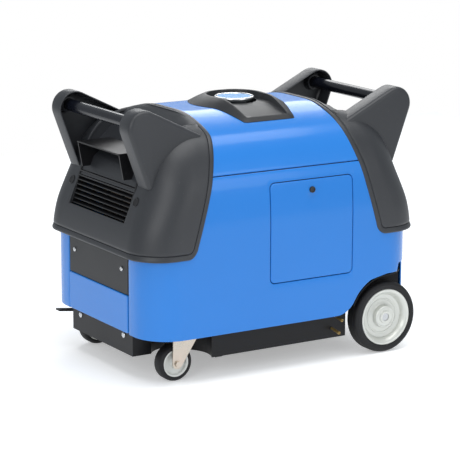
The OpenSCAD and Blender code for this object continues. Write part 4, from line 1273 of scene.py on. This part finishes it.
nose_low, nose_high = cad("front_bumper")
piece("nose_bumper", end_sheet(-1, nose_high.y, nose_low.z, nose_high.z, 1.5), PAINT, "chassis",
      ["front_bumper"])
panel_low, panel_high = cad("front_panel")
piece("nose_panel", end_sheet(-1, panel_high.y, panel_low.z, panel_high.z - 2, 0), PANEL, "chassis",
      ["front_panel"])
tail_low, tail_high = cad("rear_bumper")
piece("tail_bumper", end_sheet(1, tail_high.y, tail_low.z, tail_high.z, 1.5), PAINT, "chassis",
      ["rear_bumper"])

# %% [markdown]
# ## Screws
# A pan screw is a turned head with a cross recess. The recess is two crossed slots, drawn by
# pulling the middle faces of a fine disc inward, so no cut is needed.

# %% Pan screws
def pan_screw(radius, proud):
    bm = tube([(radius, 0), (radius, proud * 0.45), (radius * 0.9, proud * 0.8), (radius * 0.68, proud),
               (radius * 0.42, proud), (radius * 0.16, proud * 0.15)], "x", 24)
    close_ends(bm)
    for v in bm.verts:
        if abs(math.hypot(v.co.y, v.co.z) - radius * 0.16) < 0.01:
            turn = math.atan2(v.co.z, v.co.y)
            arm = abs(math.cos(2 * turn)) > 0.9
            v.co.y, v.co.z = (v.co.y * 2.4, v.co.z * 2.4) if arm else (v.co.y, v.co.z)
    bmesh.ops.recalc_face_normals(bm, faces=bm.faces)
    return bm


heads = []
for s in (-1, 1):
    heads.append(placed(pan_screw(5, 2.4), at(-half_l - 0.2, s * 100, 227) @ flipped(X_AXIS)))
    heads.append(placed(pan_screw(6, 2.4), at(-half_l + 7.7, s * 92, 87) @ flipped(X_AXIS)))
piece("case_screw_heads", join(*heads), BRIGHT, "chassis", ["case_screws"])

# %% [markdown]
# ## Wheels and casters
# Wheels are turned shapes, so each is one outline of radius and distance, spun about its axle.
# The rear rims are dished silver pressings with rings, and the tyres have worn shoulders and ribs.

# %% Rear wheels
hub_bore = 8.3
rim_r = 59.9
tyre_half = (wheel_high.y - wheel_low.y) / 2
tyre_mid = (wheel_high.y + wheel_low.y) / 2


def tyre_profile(r, rim, half):
    out = [(rim + 0.2, half - 3), (rim + 0.8, half - 1.2), (rim + 2.0, half - 0.7), (r - 8, half - 0.1),
           (r - 6.6, half), (r - 5.4, half - 0.9), (r - 3.2, half - 2.2), (r - 1.6, half - 4.2),
           (r - 0.4, half - 7), (r, half - 9.5)]
    ribs = []
    edge = half - 9.5
    count = 4
    pitch = 2 * edge / count
    for k in range(1, count):
        y = edge - pitch * k
        ribs += [(r, y + 1.1), (r - 1.1, y + 0.7), (r - 1.1, y - 0.7), (r, y - 1.1)]
    return out + ribs + [(a, -b) for a, b in reversed(out)]


def turned(profile, place, segments=96):
    bm = tube(profile, "y", segments)
    first, last = profile[0], profile[-1]
    if abs(first[0] - last[0]) < 0.01:
        # joins the two open rims with a plain band
        edges = [e for e in bm.edges if e.is_boundary]
        bmesh.ops.bridge_loops(bm, edges=edges)
    bmesh.ops.translate(bm, vec=place, verts=bm.verts)
    bmesh.ops.remove_doubles(bm, verts=bm.verts, dist=0.01)
    bmesh.ops.recalc_face_normals(bm, faces=bm.faces)
    return bm


def rim_profile(half):
    """From the bore, along the outer face to the flange, and back along the inner face."""
    return [(hub_bore, -half + 1.5), (hub_bore + 0.8, -half + 0.8), (12, -half + 0.8), (12.8, -half + 1.4),
            (14, -half + 4.5), (19.4, -half + 5.0), (20.6, -half + 3.9), (22, -half + 3.9), (23, -half + 5),
            (24, -4.6), (26, -3.6), (34, -3.4), (35, -4.4), (37, -4.4), (38, -3.4), (46, -4.2),
            (50, -half + 7), (54.5, -half + 2.2), (56, -half + 1.4), (58.8, -half + 1.2),
            (rim_r, -half + 2.2), (rim_r, half - 2.2), (58.8, half - 1.2), (56, half - 1.4),
            (50, half - 8), (46, 1.2), (24, 1.2),
            (23, half - 8), (hub_bore, half - 7.6)]


for name, side in (("near", -1), ("far", 1)):
    turn = flipped(Y_AXIS) if side > 0 else Matrix.Identity(4)
    place = at(wheel_x, side * abs(tyre_mid), wheel_r) @ turn
    tyre = placed(turned(tyre_profile(wheel_r, rim_r, tyre_half), (0, 0, 0)), place)
    rim = placed(turned(rim_profile(tyre_half), (0, 0, 0)), place)
    piece(name + "_rear_tyre", tyre, RUBBER, name + "_wheel", [name + "_tyre"], crease=28)
    piece(name + "_rear_rim", rim, RIM, name + "_wheel", [name + "_rim"], crease=28)

# %% [markdown]
# Each caster wheel is a black tread round a pale disc with a raised hub, and both faces are alike.

# %% Caster wheels
caster_low, caster_high = cad("near_caster_tyre")
caster_r = (caster_high.z - caster_low.z) / 2
caster_axle_x = (caster_high.x + caster_low.x) / 2
caster_y = abs(caster_high.y + caster_low.y) / 2
caster_half = (caster_high.y - caster_low.y) / 2
h, r = caster_half, caster_r
tread_half = [(r - 9, h - 2.4), (r - 8.4, h - 1), (r - 7, h - 0.2), (r - 5, h - 0.2), (r - 2.6, h - 1.6),
              (r - 0.9, h - 4), (r, h - 7.5)]
disc_half = [(4.4, h + 0.9), (8, h + 0.9), (9, h + 0.2), (10.4, 8.5), (12, 6.6), (20, 6.2), (23, 7),
             (24.6, h - 3), (26, h - 2.1), (28.3, h - 2.1), (28.4, h - 3)]


def both_faces(outline):
    """Adds the mirror image of an outline, so that the far face matches the near one."""
    return outline + [(radius, -along) for radius, along in reversed(outline)]


tread, disc = both_faces(tread_half), both_faces(disc_half)
for name, side in (("near", -1), ("far", 1)):
    place = Vector((caster_axle_x, side * caster_y, caster_r))
    piece(name + "_caster_tread", turned(tread, place, 64), RUBBER, name + "_roller",
          [name + "_caster_tyre"], crease=28)
    piece(name + "_caster_disc", turned(disc, place, 64), CASTER_GREY, name + "_roller",
          [name + "_caster_rim"], crease=28)

# %% [markdown]
# ## Cap and louvre
# The cap is two turned pieces: a blue dish and the bright ring that grips it. The louvre is a set of
# thin blades with rounded edges, tipped a little, so that each one catches light on its nose.

# %% Fuel cap
cap_low, cap_high = cad("fuel_cap")
cap_x = (cap_low.x + cap_high.x) / 2
cap_r = (cap_high.x - cap_low.x) / 2
base, top = cap_low.z, cap_high.z
ring_line = [(cap_r - 7.0, top - 3.4), (cap_r - 6.6, top - 1.2), (cap_r - 5.4, top - 0.3),
             (cap_r - 3.4, top - 0.1), (cap_r - 1.4, top - 0.6), (cap_r - 0.4, top - 1.9),
             (cap_r - 0.05, top - 3.6), (cap_r - 0.5, top - 5.6), (cap_r - 2.2, base + 1.0),
             (cap_r - 5, base + 0.05), (10, base + 0.05)]
ring = close_ends(tube(ring_line, "z", 96))
bmesh.ops.translate(ring, vec=(cap_x, 0, 0), verts=ring.verts)
piece("cap_ring", tidy_normals(ring), CHROME, "cap", ["fuel_cap"], crease=50)

dish_line = [(cap_r - 6.9, top - 1.6), (cap_r - 8, top - 2.4), (cap_r - 11, top - 3.4),
             (cap_r - 14, top - 3.9), (12, top - 4.0), (3, top - 3.8)]
dish = close_ends(tube(dish_line, "z", 96))
bmesh.ops.translate(dish, vec=(cap_x, 0, 0), verts=dish.verts)
piece("cap_dish", tidy_normals(dish), CAP_BLUE, "cap", crease=50)

# %% [markdown]
# The blades climb the leaning end of the case, so each sits a little further in than the one below.

# %% Louvre
def slab(size, place, edge, turn=0.0, shear=0.0):
    """A bar with rounded edges, tipped about Y or leaning back as it rises."""
    bm = bmesh.new()
    bmesh.ops.create_cube(bm, size=1)
    bmesh.ops.scale(bm, vec=size, verts=bm.verts)
    bmesh.ops.bevel(bm, geom=bm.edges[:], offset=edge, segments=3, profile=0.5,
                    affect="EDGES", material=-1)
    for v in bm.verts:
        v.co.x += shear * v.co.z
    return placed(bm, at(*place) @ Matrix.Rotation(turn, 4, "Y"))


blade_count = 8
pitch = (ear_foot_z - opening_z - 14) / blade_count
lean_back, blade_tip = 0.33, math.radians(14)
blade_size = (11.5, 2 * opening_half - 5, 2.6)
blade_x, frame_y = half_l - 6.5, opening_half - 3
middle_rise = 40
middle_z, middle_back = opening_z + middle_rise, lean_back * middle_rise
blades = [
    slab(blade_size, (blade_x - lean_back * k * pitch, 0, opening_z + 5.6 + k * pitch), 1.1, blade_tip)
    for k in range(blade_count)
]
frames = [
    slab((14, 4.6, 78), (blade_x - middle_back, s * frame_y, middle_z), 1.0, 0, -lean_back)
    for s in (-1, 1)
]
ribs = [
    slab((7.5, 2.8, 74), (half_l - 12 - middle_back, y, middle_z), 0.8, 0, -lean_back)
    for y in (-60, 0, 60)
]
louvre = placed(join(*blades, *frames, *ribs), flipped(X_AXIS))
piece("exhaust_blades", louvre, LOUVRE, "chassis", ["exhaust_louvre"])

# %% [markdown]
# ## Cap surround
# The surround is a shield-shaped moulding with a scoop. It is lofted ring by ring: each ring is the
# line round a large circle and two small corner circles, and its height follows the curved cover.

# %% Surround rings
spokes = 120


def cover_z(x, y):
    return min(crown_z, skin_top(x, abs(y)))


def shield(radius, front_y, left, right, corner):
    """Points on the line round three circles, one for each of the evenly spread directions."""
    centre = Vector((cap_x, 0))
    corners = [(Vector((x, front_y)), corner) for x in (left, right)]
    line = belt(corners + [(centre, radius)], 4)
    points = [c + way * r for c, r, way in line]
    out = []
    for k in range(spokes):
        a = 2 * math.pi * k / spokes
        ray = Vector((math.cos(a), math.sin(a)))
        best = 0
        for p, q in zip(points, points[1:] + points[:1]):
            u, w = p - centre, q - p
            cross = ray.x * w.y - ray.y * w.x
            if abs(cross) < 1e-9:
                continue
            along = (u.x * w.y - u.y * w.x) / cross
            part = (u.x * ray.y - u.y * ray.x) / cross
            if -1e-6 <= part <= 1 + 1e-6 and along > best:
                best = along
        out.append(centre + ray * best)
    return out


def lifted(points, rise, front):
    """Heights over the cover: rise round the cap, easing to front at the two corners."""
    out = []
    for p in points:
        t = max(0, min(1, (-p.y - 45) / 85))
        out.append(Vector((p.x, p.y, cover_z(p.x, p.y) + rise + (front - rise) * t)))
    return out


def stack(lines):
    """Lofts through a list of lines that have one point for each spoke."""
    bm = tube([(1, k) for k in range(len(lines))], "z", spokes)
    for v in bm.verts:
        turn = math.atan2(v.co.y, v.co.x) % (2 * math.pi)
        v.co = lines[round(v.co.z)][round(turn / (2 * math.pi) * spokes) % spokes]
    return bm


rim_rise = cad("cap_surround")[1].z - crown_z
foot = shield(97, -131, cap_x - 55, cap_x + 57, 6)
shoulder = shield(64.5, -127, cap_x - 50, cap_x + 52, 4)
crest = shield(61.5, -126, cap_x - 48, cap_x + 50, 3)
lip = shield(58, -124, cap_x - 46, cap_x + 48, 2.5)
well_foot = shield(55, -121, cap_x - 43, cap_x + 45, 2.5)
throat_r = 47
angles = [2 * math.pi * k / spokes for k in range(spokes)]
throat = [Vector((cap_x + throat_r * math.cos(a), throat_r * math.sin(a))) for a in angles]


def between(first, second, part):
    return [a.lerp(b, part) for a, b in zip(first, second)]


surround = stack([
    lifted(foot, -1.0, -1.0),
    lifted(foot, 0.8, 1.0),
    lifted(between(foot, shoulder, 0.5), rim_rise * 0.5 + 0.4, 3.2),
    lifted(shoulder, rim_rise - 1.0, 5.0),
    lifted(crest, rim_rise - 0.1, 5.6),
    lifted(lip, rim_rise - 0.6, 5.2),
    lifted(well_foot, 4.0, 3.2),
    lifted(between(well_foot, throat, 0.12), 2.9, 2.4),
    lifted(between(well_foot, throat, 0.6), 2.9, 2.4),
    lifted(throat, 2.9, 2.9),
    lifted(throat, -6, -6),
])
bmesh.ops.recalc_face_normals(surround, faces=surround.faces)
if sum(f.normal.z for f in surround.faces) < 0:
    bmesh.ops.reverse_faces(surround, faces=surround.faces)
piece("cap_shield", surround, PANEL, "chassis", ["cap_surround"], crease=30)

# %% [markdown]
# ## Finishes on the CAD nodes
# Nodes whose shape is right already stay as they are, and only get their finish.

# %% Dress the nodes that stay
NODE_FINISHES = (
    (STEEL_BLACK, "base_frame caster_brake"),
    (LINER, "arch_liners"),
    (PAINT, "top_cover side_panel_near side_panel_far front_bumper rear_bumper service_door"),
    (PANEL, "front_panel rear_grille cap_surround recoil_cup recoil_pulley fan_shroud "
            "control_panel air_filter_box battery"),
    (HOOD, "exhaust_hood control_hood"),
    (LOUVRE, "exhaust_louvre exhaust_visor"),
    (BAR, "handle_bars"),
    (SOFT_RUBBER, "cap_seal rubber_mounts"),
    (CAP_BLUE, "fuel_cap"),
    (TANK, "fuel_tank"),
    (GRIP, "door_latch recoil_grip choke_knob fuel_cock"),
    (SHAFT, "rear_axle crankshaft"),
    (RUBBER, "near_tyre far_tyre near_caster_tyre far_caster_tyre"),
    (RIM, "near_rim far_rim"),
    (ZINC, "caster_plates near_caster_fork far_caster_fork"),
    (CASTER_GREY, "near_caster_rim far_caster_rim"),
    (SOCKET, "mains_sockets"),
    (RED, "dc_terminals breaker_button eco_switch"),
    (GREEN, "pilot_lamps"),
    (CHROME, "key_switch"),
    (CASTING, "engine_block cylinder_head carburettor inverter_unit"),
    (IRON, "flywheel_rotor"),
    (COPPER, "stator"),
    (YELLOW, "oil_filler_cap"),
    (HOT_STEEL, "muffler"),
    (BRASS, "drain_spigots"),
    (BRIGHT, "case_screws"),
)
finish_of = {name: material for material, names in NODE_FINISHES for name in names.split()}
for name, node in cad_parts.items():
    node.data.materials.clear()
    node.data.materials.append(finish_of[name])
print("dressed", len(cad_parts), "nodes")
